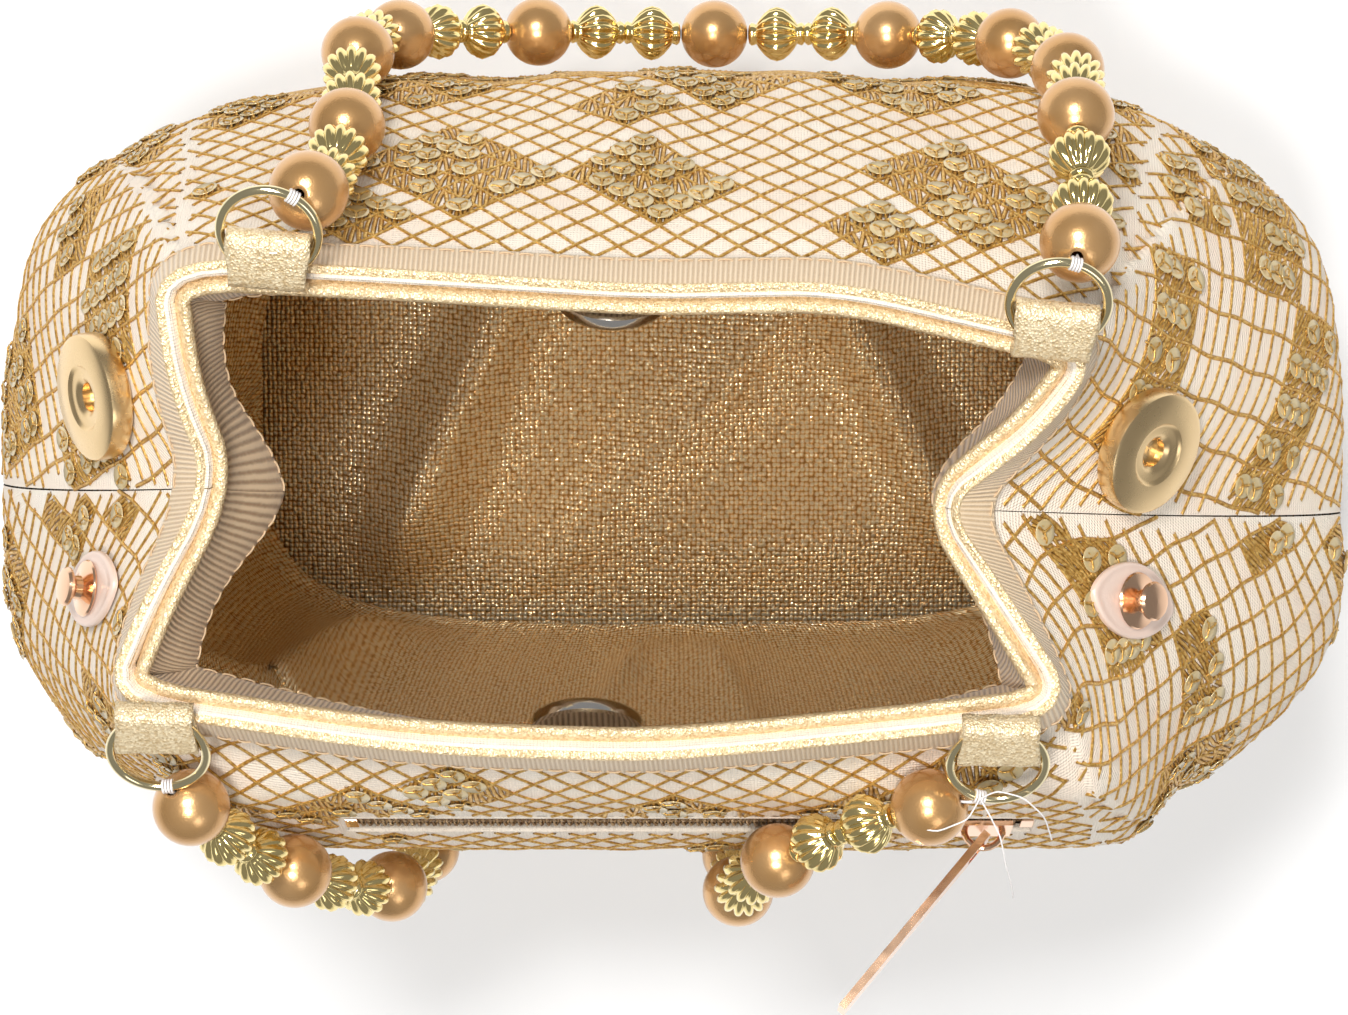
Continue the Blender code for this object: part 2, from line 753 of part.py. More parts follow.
def make_loop(name, root, axis, reach, lift, cloth):
    """Fabric loop: a flat sleeve, sewn at its root, with the ring running through it."""
    inner_half = RING_WIRE / 2 + LOOP_CLEARANCE
    outer_half = inner_half + LOOP_CLOTH
    turn_steps = 6

    def outline(radius):
        points = []
        for index in range(turn_steps + 1):
            angle = math.pi / 2 + math.pi * index / turn_steps
            points.append((math.cos(angle) * radius, math.sin(angle) * radius))
        for index in range(turn_steps + 1):
            angle = -math.pi / 2 + math.pi * index / turn_steps
            points.append((LOOP_REACH + math.cos(angle) * radius, math.sin(angle) * radius))
        return points

    rows = []
    for radius, sides in ((outer_half, (-1, 1)), (inner_half, (1, -1))):
        for side in sides:
            points = []
            for along, up in outline(radius):
                points.append(root + axis * (side * LOOP_WIDTH / 2) + reach * along + lift * up)
            rows.append(points)
    verts, faces = loft(rows + [rows[0]], True)
    make_object(name, verts, faces, cloth)


def make_ring(name, center, normal, start, metal):
    """Round wire ring about a centre, in the plane across its normal."""
    mean = (RING_OUTER_DIAMETER - RING_WIRE) / 2
    side_axis = normal.cross(start).normalized()
    rows = []
    turns = RING_STEPS
    for index in range(turns):
        angle = 2 * math.pi * index / turns
        radial = start * math.cos(angle) + side_axis * math.sin(angle)
        ring = []
        for side in range(WIRE_SIDES):
            around = 2 * math.pi * side / WIRE_SIDES
            offset = radial * math.cos(around) + normal * math.sin(around)
            ring.append(center + radial * mean + offset * RING_WIRE / 2)
        rows.append(ring)
    verts, faces = loft(rows + [rows[0]], True)
    make_object(name, verts, faces, metal)


def smooth_route(points, samples):
    """Catmull-Rom curve through the points, evenly resampled by its length."""
    padded = [points[0] * 2 - points[1]] + points + [points[-1] * 2 - points[-2]]
    dense = []
    for index in range(1, len(padded) - 2):
        p0, p1, p2, p3 = padded[index - 1:index + 3]
        for step in range(samples):
            t = step / samples
            a = p1 * 2
            b = (p2 - p0) * t
            c = (p0 * 2 - p1 * 5 + p2 * 4 - p3) * t * t
            d = (p1 * 3 - p0 - p2 * 3 + p3) * t * t * t
            dense.append((a + b + c + d) / 2)
    dense.append(padded[-2])
    return dense


def bag_samples():
    """Points of the outer face with their normals, as two arrays."""
    places = []
    normals = []
    for bearing in spread(LEFT_SEAM, LEFT_SEAM - FULL_TURN, 121)[:-1]:
        for depth in spread(0.0, 1.9, 39):
            places.append(surface(bearing, depth))
            normals.append(surface_normal(bearing, depth))
    return numpy.array(places), numpy.array(normals)


def rest_on_bag(dense, clearance, samples):
    """Moves a route outward where its beads would sink into the bag."""
    places, normals = samples
    moved = [point.copy() for point in dense]
    for _ in range(4):
        for index, point in enumerate(moved):
            if not ROUTE_STEPS <= index < len(moved) - ROUTE_STEPS:
                continue
            nearest = int(numpy.argmin(((places - numpy.array(point)) ** 2).sum(axis=1)))
            normal = Vector(normals[nearest])
            height = (point - Vector(places[nearest])).dot(normal)
            if height < clearance:
                moved[index] = point + normal * (clearance - height)
        inner = [(moved[i - 1] + moved[i] * 2 + moved[i + 1]) / 4 for i in range(1, len(moved) - 1)]
        moved = [moved[0]] + inner + [moved[-1]]
    return moved


def route_lengths(dense):
    lengths = [0.0]
    for first, second in zip(dense, dense[1:]):
        lengths.append(lengths[-1] + (second - first).length)
    return lengths


def route_point(dense, lengths, distance):
    """Point and direction at a distance along a dense route, straight beyond its ends."""
    if distance <= 0:
        tangent = (dense[1] - dense[0]).normalized()
        return dense[0] + tangent * distance, tangent
    if distance >= lengths[-1]:
        tangent = (dense[-1] - dense[-2]).normalized()
        return dense[-1] + tangent * (distance - lengths[-1]), tangent
    low = 0
    while lengths[low + 1] < distance:
        low += 1
    share = (distance - lengths[low]) / (lengths[low + 1] - lengths[low])
    return dense[low].lerp(dense[low + 1], share), (dense[low + 1] - dense[low]).normalized()


def bead_profile():
    """Fluted bead along its own length: share of its length, radius and rib depth."""
    collar = COLLAR_DIAMETER / 2
    body = FLUTED_DIAMETER / 2 - FLUTED_RIB
    return [(0.03, collar, 0.0), (0.24, body, FLUTED_RIB), (0.76, body, FLUTED_RIB), (0.97, collar, 0.0)]


def cross_axes(tangent, hint):
    side = tangent.cross(hint).normalized()
    return side, side.cross(tangent).normalized()


def tie_point(ring, toward):
    """Where the thread leaves a ring's wire on its way to the first bead."""
    center, normal, mean, reach = ring
    offset = toward - center
    offset -= normal * offset.dot(normal)
    radial = (offset.normalized() + reach * TIE_OUTWARD).normalized()
    return center + radial * (mean + RING_WIRE / 2 + TIE_CLEARANCE + TIE_DIAMETER / 2), radial


def tie_rows(ring, toward):
    """Rows of the thread's turn round the ring's wire, from its free end to the beads."""
    center, normal, mean, reach = ring
    radial = tie_point(ring, toward)[1]
    wire = center + radial * mean
    radius = RING_WIRE / 2 + TIE_CLEARANCE + TIE_DIAMETER / 2
    turns = 9
    path = []
    for index in range(turns):
        angle = math.radians(TIE_TURN) * (1 - index / (turns - 1))
        path.append(wire + (radial * math.cos(angle) + normal * math.sin(angle)) * radius)
    rows = []
    for index, point in enumerate(path):
        before = path[max(index - 1, 0)]
        after = path[index + 1] if index + 1 < len(path) else toward
        rows.append(circle_row(point, (after - before).normalized(), TIE_DIAMETER / 2, 0.0))
    return rows


def circle_row(point, direction, radius, rib):
    side, other = cross_axes(direction, Vector((0.31, 0.22, 0.92)))
    ring = []
    for index in range(BEAD_SIDES):
        angle = 2 * math.pi * index / BEAD_SIDES
        reach = radius + (rib if index % 2 == 0 else -rib)
        ring.append(point + (side * math.cos(angle) + other * math.sin(angle)) * reach)
    return ring


def pearl_places(lengths):
    """Distance of each pearl's centre along the strand."""
    first = TIE_LENGTH + PEARL_DIAMETER / 2
    pitch = (lengths[-1] - 2 * first) / (PEARLS - 1)
    return [first + index * pitch for index in range(PEARLS)]


def make_strand(name, pearls, rings, finish):
    """Thread with the fluted beads fused on it, tied round a ring at each end.

    It runs straight through each pearl, and two fluted beads fill the way to the next.
    """
    thread = THREAD_DIAMETER / 2
    reach = PEARL_DIAMETER / 2 + BORE_CLEARANCE
    rows = tie_rows(rings[0], pearls[0][0] - pearls[0][1] * reach)
    for index, (center, tangent) in enumerate(pearls):
        for side in (-1, 1):
            rows.append(circle_row(center + tangent * (side * reach), tangent, thread, 0.0))
        if index + 1 == len(pearls):
            break
        following, next_tangent = pearls[index + 1]
        start = center + tangent * reach
        finish_point = following - next_tangent * reach
        middle = (start + finish_point) / 2
        bow = (tangent - next_tangent) * ((finish_point - start).length / 8)
        for first, second in ((start, middle + bow), (middle + bow, finish_point)):
            direction = (second - first).normalized()
            length = (second - first).length
            for share, radius, rib in bead_profile():
                rows.append(circle_row(first + direction * (share * length), direction, radius, rib))
    tail = tie_rows(rings[1], pearls[-1][0] + pearls[-1][1] * reach)
    for row in reversed(tail):
        rows.append(aligned_row(rows[-1], row))
    verts, faces = loft(rows, True, True, True)
    make_object(name, verts, faces, finish)


def aligned_row(previous, row):
    """The row turned and, where needed, reversed so that it follows the previous one."""
    count = len(row)
    center = sum(previous, Vector()) / count
    own = sum(row, Vector()) / count
    best = None
    for order in (list(row), list(reversed(row))):
        for shift in range(count):
            turned_order = order[shift:] + order[:shift]
            error = 0.0
            for first, second in zip(previous, turned_order):
                error += ((first - center).normalized() - (second - own).normalized()).length
            if best is None or error < best[0]:
                best = (error, turned_order)
    return best[1]


def make_pearl(name, point, tangent, finish):
    """Round bead with its bore along the thread."""
    radius = PEARL_DIAMETER / 2
    bore = THREAD_DIAMETER / 2 + BORE_CLEARANCE
    side, other = cross_axes(tangent, Vector((0.31, 0.22, 0.92)))
    first = math.asin(bore / radius)
    rows = []
    sides = PEARL_SIDES
    for angle in spread(first, math.pi - first, 6):
        ring = []
        for index in range(sides):
            turn = 2 * math.pi * index / sides
            spoke = side * math.cos(turn) + other * math.sin(turn)
            ring.append(point + spoke * (radius * math.sin(angle)) - tangent * (radius * math.cos(angle)))
        rows.append(ring)
    verts, faces = loft(rows + [rows[0]], True)
    make_object(name, verts, faces, finish)


def make_handle(side, bearings, place, tilt, route, finishes, samples):
    roots, axis, reach, lift = loop_and_ring_frames(bearings, place, tilt)
    mean = (RING_OUTER_DIAMETER - RING_WIRE) / 2
    rings = []
    for name, root in zip(("left", "right"), roots):
        make_loop("loop_%s_%s" % (side, name), root, axis, reach, lift, finishes["loop"])
        center = root + reach * mean
        make_ring("ring_%s_%s" % (side, name), center, lift, -reach, finishes["ring"])
        rings.append((center, lift, mean, reach))
    points = [Vector(point) for point in route]
    first_tie = tie_point(rings[0], points[0])[0]
    last_tie = tie_point(rings[1], points[-1])[0]
    clearance = PEARL_DIAMETER / 2 + BEAD_REST
    route_points = smooth_route([first_tie] + points + [last_tie], ROUTE_STEPS)
    dense = rest_on_bag(route_points, clearance, samples)
    lengths = route_lengths(dense)
    pearls = [route_point(dense, lengths, place) for place in pearl_places(lengths)]
    first, last = pearls[0][0], pearls[-1][0]
    pearls[0] = (first, (first - first_tie).normalized())
    pearls[-1] = (last, (last_tie - last).normalized())
    make_strand("strand_" + side, pearls, rings, finishes["fluted"])
    for index, (point, tangent) in enumerate(pearls):
        make_pearl("pearl_%s_%02d" % (side, index + 1), point, tangent, finishes["pearl"])


# Snaps

def turned(name, profile, center, axis, finish, sides=ROUND_SIDES):
    """Solid of revolution: the profile lists radius and height from the centre outward."""
    side, other = cross_axes(axis, Vector((0.31, 0.22, 0.92)))
    rows = []
    for radius, height in profile:
        ring = []
        for index in range(sides):
            angle = 2 * math.pi * index / sides
            spoke = side * math.cos(angle) + other * math.sin(angle)
            ring.append(center + spoke * radius + axis * height)
        rows.append(ring)
    verts, faces = loft(rows, True, True, True)
    return make_object(name, verts, faces, finish)


def no_offset(depth):
    return 0.0


def seat_on_surface(bearing, depth, outward, radius, side):
    """Centre and axis of a flat piece laid on the bag's cloth, or inside it for side -1.

    outward gives the cloth's offset from the outer face at a depth.
    """
    normal = surface_normal(bearing, depth)
    base = surface(bearing, depth) + normal * outward(depth)
    highest = 0.0
    for turn in range(-12, 13):
        for step in range(-8, 9):
            here_bearing = bearing + turn * 1.5
            here_depth = min(max(depth + step * 0.04, 0.0), 2.0)
            point = surface(here_bearing, here_depth)
            point += surface_normal(here_bearing, here_depth) * outward(here_depth)
            offset = point - base
            height = offset.dot(normal) * side
            flat = offset - normal * offset.dot(normal)
            if flat.length <= radius:
                highest = max(highest, height)
    return base + normal * side * (highest + GAP), normal * side


def make_magnets(metal):
    """Two halves of the closing snap on the lining, mid back and mid front."""
    stud = MAGNET_STUD_DIAMETER / 2
    rim = MAGNET_DIAMETER / 2
    inset = 0.0005

    def inner_cloth(depth):
        return lining_offset(depth) - LINING_THICKNESS - GAP - FACING_THICKNESS

    for name, bearing in (("back", MAGNET_BACK_BEARING), ("front", MAGNET_FRONT_BEARING)):
        depth = depth_at_drop(bearing, MAGNET_DROP + MAGNET_DIAMETER / 4)
        center, axis = seat_on_surface(bearing, depth, inner_cloth, rim, -1)
        center -= axis * MAGNET_SINK[name]
        profile = [(rim, 0.0), (rim, MAGNET_THICKNESS - inset), (rim - inset, MAGNET_THICKNESS)]
        if name == "front":
            profile += [(stud, MAGNET_THICKNESS), (stud * 0.8, MAGNET_THICKNESS + MAGNET_STUD_HEIGHT)]
        else:
            profile += [(stud + 0.0004, MAGNET_THICKNESS), (stud, MAGNET_THICKNESS - MAGNET_STUD_HEIGHT)]
        turned("snap_center_" + name, profile, center, axis, metal)


def petal_outline(center, axis, toward):
    """Pointed oval around a centre; toward is the direction of its long axis."""
    along = (toward - axis * toward.dot(axis)).normalized()
    across = axis.cross(along)
    points = []
    steps = 16
    for index in range(steps):
        turn = 2 * math.pi * index / steps
        reach = PETAL_LENGTH / 2 * math.cos(turn)
        wide = PETAL_WIDTH / 2 * math.sin(turn) * abs(math.sin(turn)) ** 0.35
        points.append(center + along * reach + across * wide)
    return points


def make_side_snaps(metal, patch):
    """Gusset snaps: a thick socket on the back half and a stud on the front half of each side."""
    bore = SOCKET_BORE / 2
    edge = 0.0005
    for name, bearing in SOCKET_BEARINGS.items():
        radius = SOCKET_DIAMETER / 2
        center, axis = seat_on_surface(bearing, SIDE_SNAP_DEPTH, no_offset, radius, 1)
        profile = [(radius, 0.0), (radius, SOCKET_THICKNESS - edge), (radius - edge, SOCKET_THICKNESS)]
        profile += [(bore + edge, SOCKET_THICKNESS), (bore, SOCKET_THICKNESS - edge)]
        profile += [(bore, SOCKET_THICKNESS * 0.4)]
        turned("snap_socket_" + name, profile, center, axis, metal)
    for name, bearing in STUD_BEARINGS.items():
        center, axis = seat_on_surface(bearing, SIDE_SNAP_DEPTH, no_offset, PETAL_LENGTH / 2, 1)
        down = surface(bearing, SIDE_SNAP_DEPTH + 0.1) - surface(bearing, SIDE_SNAP_DEPTH)
        outline = petal_outline(center, axis, down)
        rows = [outline, [point + axis * PETAL_THICKNESS for point in outline]]
        verts, faces = loft(rows, True, True, True)
        make_object("snap_petal_" + name, verts, faces, patch, smooth=False)
        foot = center + axis * (PETAL_THICKNESS + GAP)
        flange = STUD_FLANGE_DIAMETER / 2
        neck = STUD_NECK_DIAMETER / 2
        head = STUD_HEAD_DIAMETER / 2
        profile = [(flange, 0.0), (flange, 0.0006), (neck, 0.0012), (neck, STUD_HEIGHT * 0.6)]
        profile += [(head, STUD_HEIGHT * 0.72), (head, STUD_HEIGHT * 0.9), (head * 0.7, STUD_HEIGHT)]
        turned("snap_stud_" + name, profile, foot, axis, metal, 12)


def main():
    clear_scene()
    brocade = material("brocade", (0.80, 0.68, 0.52), 0.7, 0.0)
    lurex = material("lurex lining", (0.40, 0.25, 0.10), 0.5, 0.4)
    band = material("ribbed band", (0.66, 0.52, 0.33), 0.6, 0.0)
    cloth = material("glitter cloth", (0.72, 0.55, 0.33), 0.5, 0.3)
    tape = material("zip tape", (0.42, 0.26, 0.12), 0.7, 0.0)
    gold = material("pale gold", (0.85, 0.66, 0.35), 0.25, 1.0)
    rose = material("rose gold", (0.82, 0.55, 0.38), 0.2, 1.0)
    nickel = material("nickel", (0.75, 0.73, 0.70), 0.2, 1.0)
    fluted = material("bright gold", (0.90, 0.68, 0.25), 0.15, 1.0)
    pearl = material("copper pearl", (0.62, 0.34, 0.14), 0.3, 0.5)
    patch = material("rose patch", (0.76, 0.57, 0.46), 0.5, 0.1)
    make_panels(brocade)
    make_base(brocade)
    make_lining(lurex)
    make_facing(band)
    make_band(band)
    make_zip(tape, tape, rose)
    make_magnets(nickel)
    make_side_snaps(gold, patch)
    finishes = {"loop": cloth, "ring": gold, "fluted": fluted, "pearl": pearl}
    samples = bag_samples()
    back = (BACK_LOOP_BEARINGS, BACK_ROOT, RING_TILT_BACK, BACK_ROUTE)
    front = (FRONT_LOOP_BEARINGS, FRONT_ROOT, RING_TILT_FRONT, FRONT_ROUTE)
    for side, parts in (("back", back), ("front", front)):
        make_handle(side, *parts, finishes, samples)


main()
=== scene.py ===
"""Looks of the potli bag: brocade with a gold thread net and sequins, lurex lining,
beaded handles, rings, snaps and zip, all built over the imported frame.

Units are metres unless a name says otherwise. +Z is up and -Y is the side with the zip.
"""
import math

import bpy
import numpy as np
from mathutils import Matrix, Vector


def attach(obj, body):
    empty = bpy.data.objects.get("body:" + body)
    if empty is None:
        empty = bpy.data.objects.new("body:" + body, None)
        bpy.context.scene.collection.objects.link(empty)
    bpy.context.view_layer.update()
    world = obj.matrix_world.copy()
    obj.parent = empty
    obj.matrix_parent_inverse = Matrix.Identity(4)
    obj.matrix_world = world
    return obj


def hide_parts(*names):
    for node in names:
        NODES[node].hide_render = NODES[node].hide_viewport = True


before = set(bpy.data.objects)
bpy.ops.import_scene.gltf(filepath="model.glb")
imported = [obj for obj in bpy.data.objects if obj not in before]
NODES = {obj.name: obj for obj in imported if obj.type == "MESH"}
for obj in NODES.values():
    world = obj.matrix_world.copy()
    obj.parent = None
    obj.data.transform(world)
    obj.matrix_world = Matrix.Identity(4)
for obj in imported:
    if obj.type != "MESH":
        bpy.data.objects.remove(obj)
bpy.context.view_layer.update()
MM = 0.001

# Bag body, the same values as the part's source
BAG_HEIGHT = 0.165
BELLY_HEIGHT = 0.095
BELLY_HALF_LENGTH = 0.1135
BELLY_HALF_WIDTH_BACK = 0.0675
BELLY_HALF_WIDTH_FRONT = 0.063
BELLY_SQUARENESS = 3.3
BASE_HALF_LENGTH = 0.085
BASE_HALF_WIDTH = 0.0475
BASE_SQUARENESS = 4.0
UPPER_BULGE = 1.25
LOWER_BULGE = 2.6
MOUTH = np.array([
    (180.5, -0.0690, 0.0090, 0.005), (163.0, -0.0743, 0.0237, 0.002), (143.0, -0.0767, 0.0424, 0.000),
    (122.5, -0.0408, 0.0402, 0.002), (93.5, -0.0050, 0.0378, 0.003), (65.5, 0.0247, 0.0384, 0.002),
    (47.5, 0.0486, 0.0328, 0.001), (36.5, 0.0629, 0.0295, 0.000), (22.0, 0.0549, 0.0180, 0.002),
    (-3.0, 0.0396, 0.0056, 0.005), (-20.0, 0.0491, -0.0081, 0.003), (-38.0, 0.0603, -0.0247, 0.000),
    (-50.0, 0.0433, -0.0273, 0.001), (-76.5, 0.0100, -0.0312, 0.003), (-93.5, -0.0052, -0.0323, 0.003),
    (-118.5, -0.0340, -0.0312, 0.002), (-131.5, -0.0537, -0.0289, 0.001), (-140.0, -0.0718, -0.0254, 0.000),
    (-148.0, -0.0857, -0.0238, 0.000), (-166.0, -0.0789, -0.0081, 0.003), (-179.5, -0.0690, 0.0090, 0.005),
])[::-1]
MOUTH_ROUNDING = 6.0
LEFT_SEAM = 180.5
RIGHT_SEAM = -3.0
LINING_DEPTH_AT_RIM = 0.0021
LINING_DEPTH = 0.0056
LINING_DROP_IN = 0.34
ZIP_CENTER = np.array((0.0025, -0.0515, 0.1295))
ZIP_TILT = math.radians(27.0)
ZIP_UP = np.array((0.0, math.sin(ZIP_TILT), math.cos(ZIP_TILT)))
ZIP_OUT = np.array((0.0, -math.cos(ZIP_TILT), math.sin(ZIP_TILT)))
ZIP_LENGTH = 0.112
ZIP_SLOT_HEIGHT = 0.0095
ZIP_FLAT_END = 0.016
ZIP_FLAT_MARGIN = 0.0110
ZIP_FLAT_BLEND = 0.016
ZIP_FLAT_PULL = 0.007
ZIP_FLAT_PULL_BLEND = 0.010
ZIP_NEAR = 0.004
SLOT_SNAP = 0.0009
RING_OUTER_DIAMETER = 0.016
RING_WIRE = 0.0015
LOOP_WIDTH = 0.0120
LOOP_REACH = 0.0052
PEARL_DIAMETER = 0.0120
PEARLS = 11
HANDLES = {
    "back": {"bearings": (133.5, 41.5), "out": 0.0, "rise": 0.0027, "tilt": -28.0},
    "front": {"bearings": (-144.0, -46.0), "out": 0.0015, "rise": 0.0031, "tilt": 33.0},
}

# Cloth pattern and small repeated forms
NET_PITCH = 6.2 * MM
STITCHES = 5
STITCH_PITCH = 1.0 * MM
SEQUIN_SHARE = 0.62
MACHINE_STITCH_PITCH = 3.0 * MM
LINING_UV_ROW = 40
COIL_TURNS = 92
LATHE_SIDES = 56
METAL_WEAR = 0.05
CREASES = {143.0: 1.0, 36.5: 1.0, -38.0: 0.7, -148.0: 0.7}


def unit(vectors):
    return vectors / np.maximum(np.linalg.norm(vectors, axis=-1, keepdims=True), 1e-12)


def smooth_step(value):
    value = np.clip(value, 0.0, 1.0)
    return value * value * (3.0 - 2.0 * value)


# Shape of the bag

def superellipse(bearing, half_length, half_width, squareness):
    angle = np.radians(bearing)
    across = np.abs(np.cos(angle) / half_length) ** squareness
    along = np.abs(np.sin(angle) / half_width) ** squareness
    radius = (across + along) ** (-1.0 / squareness)
    return np.stack((radius * np.cos(angle), radius * np.sin(angle), np.zeros_like(radius)), -1)


def mouth_point(bearing):
    total = 0.0
    low = MOUTH[0, 0]
    for step in (-1.0, -0.5, 0.0, 0.5, 1.0):
        wrapped = (bearing + step * MOUTH_ROUNDING - low) % 360.0 + low
        corners = [np.interp(wrapped, MOUTH[:, 0], MOUTH[:, axis]) for axis in (1, 2, 3)]
        total = total + np.stack((corners[0], corners[1], BAG_HEIGHT - corners[2]), -1)
    return total / 5.0


def surface(bearing, depth):
    """Outer face: depth 0 at the rim, 1 at the belly, 2 at the base; pulled flat round the zip."""
    bearing, depth = np.broadcast_arrays(np.asarray(bearing, float), np.asarray(depth, float))
    width = np.where(np.sin(np.radians(bearing)) > 0, BELLY_HALF_WIDTH_BACK, BELLY_HALF_WIDTH_FRONT)
    belly = superellipse(bearing, BELLY_HALF_LENGTH, width, BELLY_SQUARENESS)
    base = superellipse(bearing, BASE_HALF_LENGTH, BASE_HALF_WIDTH, BASE_SQUARENESS)
    mouth = mouth_point(bearing)
    upper = np.clip(depth, 0.0, 1.0)[..., None]
    point = mouth + (belly - mouth) * (1.0 - (1.0 - upper) ** UPPER_BULGE)
    point[..., 2] = mouth[..., 2] + (BELLY_HEIGHT - mouth[..., 2]) * upper[..., 0]
    turn = np.clip(depth - 1.0, 0.0, 1.0) * math.pi / 2
    inward = np.clip(np.cos(turn), 0.0, 1.0) ** (2.0 / LOWER_BULGE)
    lower = base + (belly - base) * inward[..., None]
    lower[..., 2] = BELLY_HEIGHT * (1.0 - np.sin(turn) ** (2.0 / LOWER_BULGE))
    point = np.where((depth <= 1.0)[..., None], point, lower)
    offset = point - ZIP_CENTER
    beyond_x = np.abs(offset[..., 0]) - (ZIP_LENGTH / 2 + ZIP_FLAT_END)
    beyond_up = np.abs(offset @ ZIP_UP) - (ZIP_SLOT_HEIGHT / 2 + ZIP_FLAT_MARGIN)
    weight = (1.0 - smooth_step(beyond_x / ZIP_FLAT_BLEND)) * (1.0 - smooth_step(beyond_up / ZIP_FLAT_BLEND))
    weight *= 1.0 - smooth_step((np.abs(offset @ ZIP_OUT) - ZIP_FLAT_PULL) / ZIP_FLAT_PULL_BLEND)
    weight = np.where((point[..., 1] > 0) | (depth > 1.6), 0.0, weight)
    return point - ZIP_OUT * ((offset @ ZIP_OUT) * weight)[..., None]


def surface_normal(bearing, depth):
    low = np.maximum(depth - 0.01, 0.0)
    high = np.minimum(depth + 0.01, 2.0)
    across = surface(bearing - 4.5, depth) - surface(bearing + 4.5, depth)
    down = surface(bearing, high) - surface(bearing, low)
    return unit(np.cross(across, down))


def lining_offset(depth):
    return -(LINING_DEPTH_AT_RIM
             + (LINING_DEPTH - LINING_DEPTH_AT_RIM) * smooth_step(depth / LINING_DROP_IN))


def crease_field(bearing, depth):
    """Pleats that run from the rim's corners to the belly: a lap with a sharp edge on one side."""
    push = np.zeros_like(bearing)
    for corner, strength in CREASES.items():
        side = 1.0 if corner in (143.0, -38.0) else -1.0
        drift = 7.0 * depth * side
        away = (bearing - corner - drift) * side * 1.9
        lap = np.where(away > 0, np.exp(-away / 7.0), -0.9 * np.exp(away / 3.0))
        fade = smooth_step((depth - 0.10) / 0.15) * (1.0 - smooth_step((depth - 0.75) / 0.45))
        push += lap * fade * strength * 1.1 * MM
    return push


def fold_field(bearing, depth):
    """Soft dents of the outer fabric, mostly inward, none at the rim or the base edge."""
    angle = np.radians(bearing)
    body = smooth_step((depth - 0.22) / 0.4) * (1.0 - smooth_step((depth - 1.55) / 0.4))
    waves = 0.55 * np.sin(7 * angle + 1.3 + 1.8 * depth) + 0.45 * np.sin(13 * angle + 0.4 - 2.6 * depth)
    waves += 0.35 * np.sin(21 * angle + 2.2 + 4.1 * depth)
    dents = -0.9 * MM * (0.7 - waves) * body
    sag = -0.5 * MM * (1 - np.cos(9 * angle + 5.0 * depth)) * smooth_step((depth - 1.0) / 0.4) * body
    point = surface(bearing, depth)
    near_zip = smooth_step((np.abs((point - ZIP_CENTER) @ ZIP_UP) - 0.012) / 0.02)
    near_zip = np.where(point[..., 1] < -0.02,
                        np.maximum(near_zip, smooth_step((np.abs(point[..., 0]) - 0.07) / 0.02)), 1.0)
    return (dents + sag) * near_zip + crease_field(bearing, depth)


# Mesh helpers

def mesh_object(name, verts, faces, uvs=None, smooth=True):
    mesh = bpy.data.meshes.new(name)
    mesh.from_pydata(np.asarray(verts).tolist(), [], [list(map(int, face)) for face in faces])
    if uvs is not None:
        layer = mesh.uv_layers.new(name="UVMap")
        corners = np.zeros(len(mesh.loops), int)
        mesh.loops.foreach_get("vertex_index", corners)
        layer.data.foreach_set("uv", np.asarray(uvs)[corners].astype(np.float32).ravel())
    if smooth:
        mesh.shade_smooth()
    made = bpy.data.objects.new(name, mesh)
    bpy.context.scene.collection.objects.link(made)
    return made


def grid_faces(rows, columns, closed_rows=False, closed_columns=False):
    row_count = rows if closed_rows else rows - 1
    column_count = columns if closed_columns else columns - 1
    row, column = np.meshgrid(np.arange(row_count), np.arange(column_count), indexing="ij")
    next_row = (row + 1) % rows
    next_column = (column + 1) % columns
    corners = (row * columns + column, next_row * columns + column,
               next_row * columns + next_column, row * columns + next_column)
    return np.stack(corners, -1).reshape(-1, 4)


def grid_object(name, points, uvs=None, closed_rows=False, closed_columns=False):
    faces = grid_faces(*points.shape[:2], closed_rows, closed_columns)
    return mesh_object(name, points.reshape(-1, 3), faces, None if uvs is None else uvs.reshape(-1, 2))


def distance_along(points, axis=0):
    """Distance from the first point, along one axis of a grid of points."""
    steps = np.cumsum(np.linalg.norm(np.diff(points, axis=axis), axis=-1), axis=axis)
    return np.concatenate((np.zeros_like(np.take(steps, [0], axis=axis)), steps), axis=axis)


class Pile:
    """Many small forms gathered into one mesh."""

    def __init__(self):
        self.verts = []
        self.faces = []
        self.count = 0

    def add(self, verts, faces):
        verts = np.asarray(verts, float).reshape(-1, 3)
        self.faces += (np.asarray(faces) + self.count).tolist()
        self.verts.append(verts)
        self.count += len(verts)

    def add_grid(self, points):
        """Rows of points, each row a closed ring."""
        self.add(points, grid_faces(*points.shape[:2], closed_columns=True))

    def make(self, name):
        return mesh_object(name, np.concatenate(self.verts), self.faces)


def dress(piece, finish, body, replaced=()):
    piece.data.materials.clear()
    piece.data.materials.append(finish)
    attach(piece, body)
    if replaced:
        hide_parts(*replaced)
    return piece


def tube(points, normals, width, height, sides=4):
    """Rows of a tube along points, wide along the surface and high along its normals."""
    tangents = unit(np.gradient(points, axis=0))
    side = unit(np.cross(tangents, normals))
    up = np.cross(side, tangents)
    angle = 2 * math.pi * np.arange(sides) / sides
    ring = (side[:, None] * (np.cos(angle) * width)[None, :, None]
            + up[:, None] * (np.sin(angle) * height)[None, :, None])
    return points[:, None] + ring


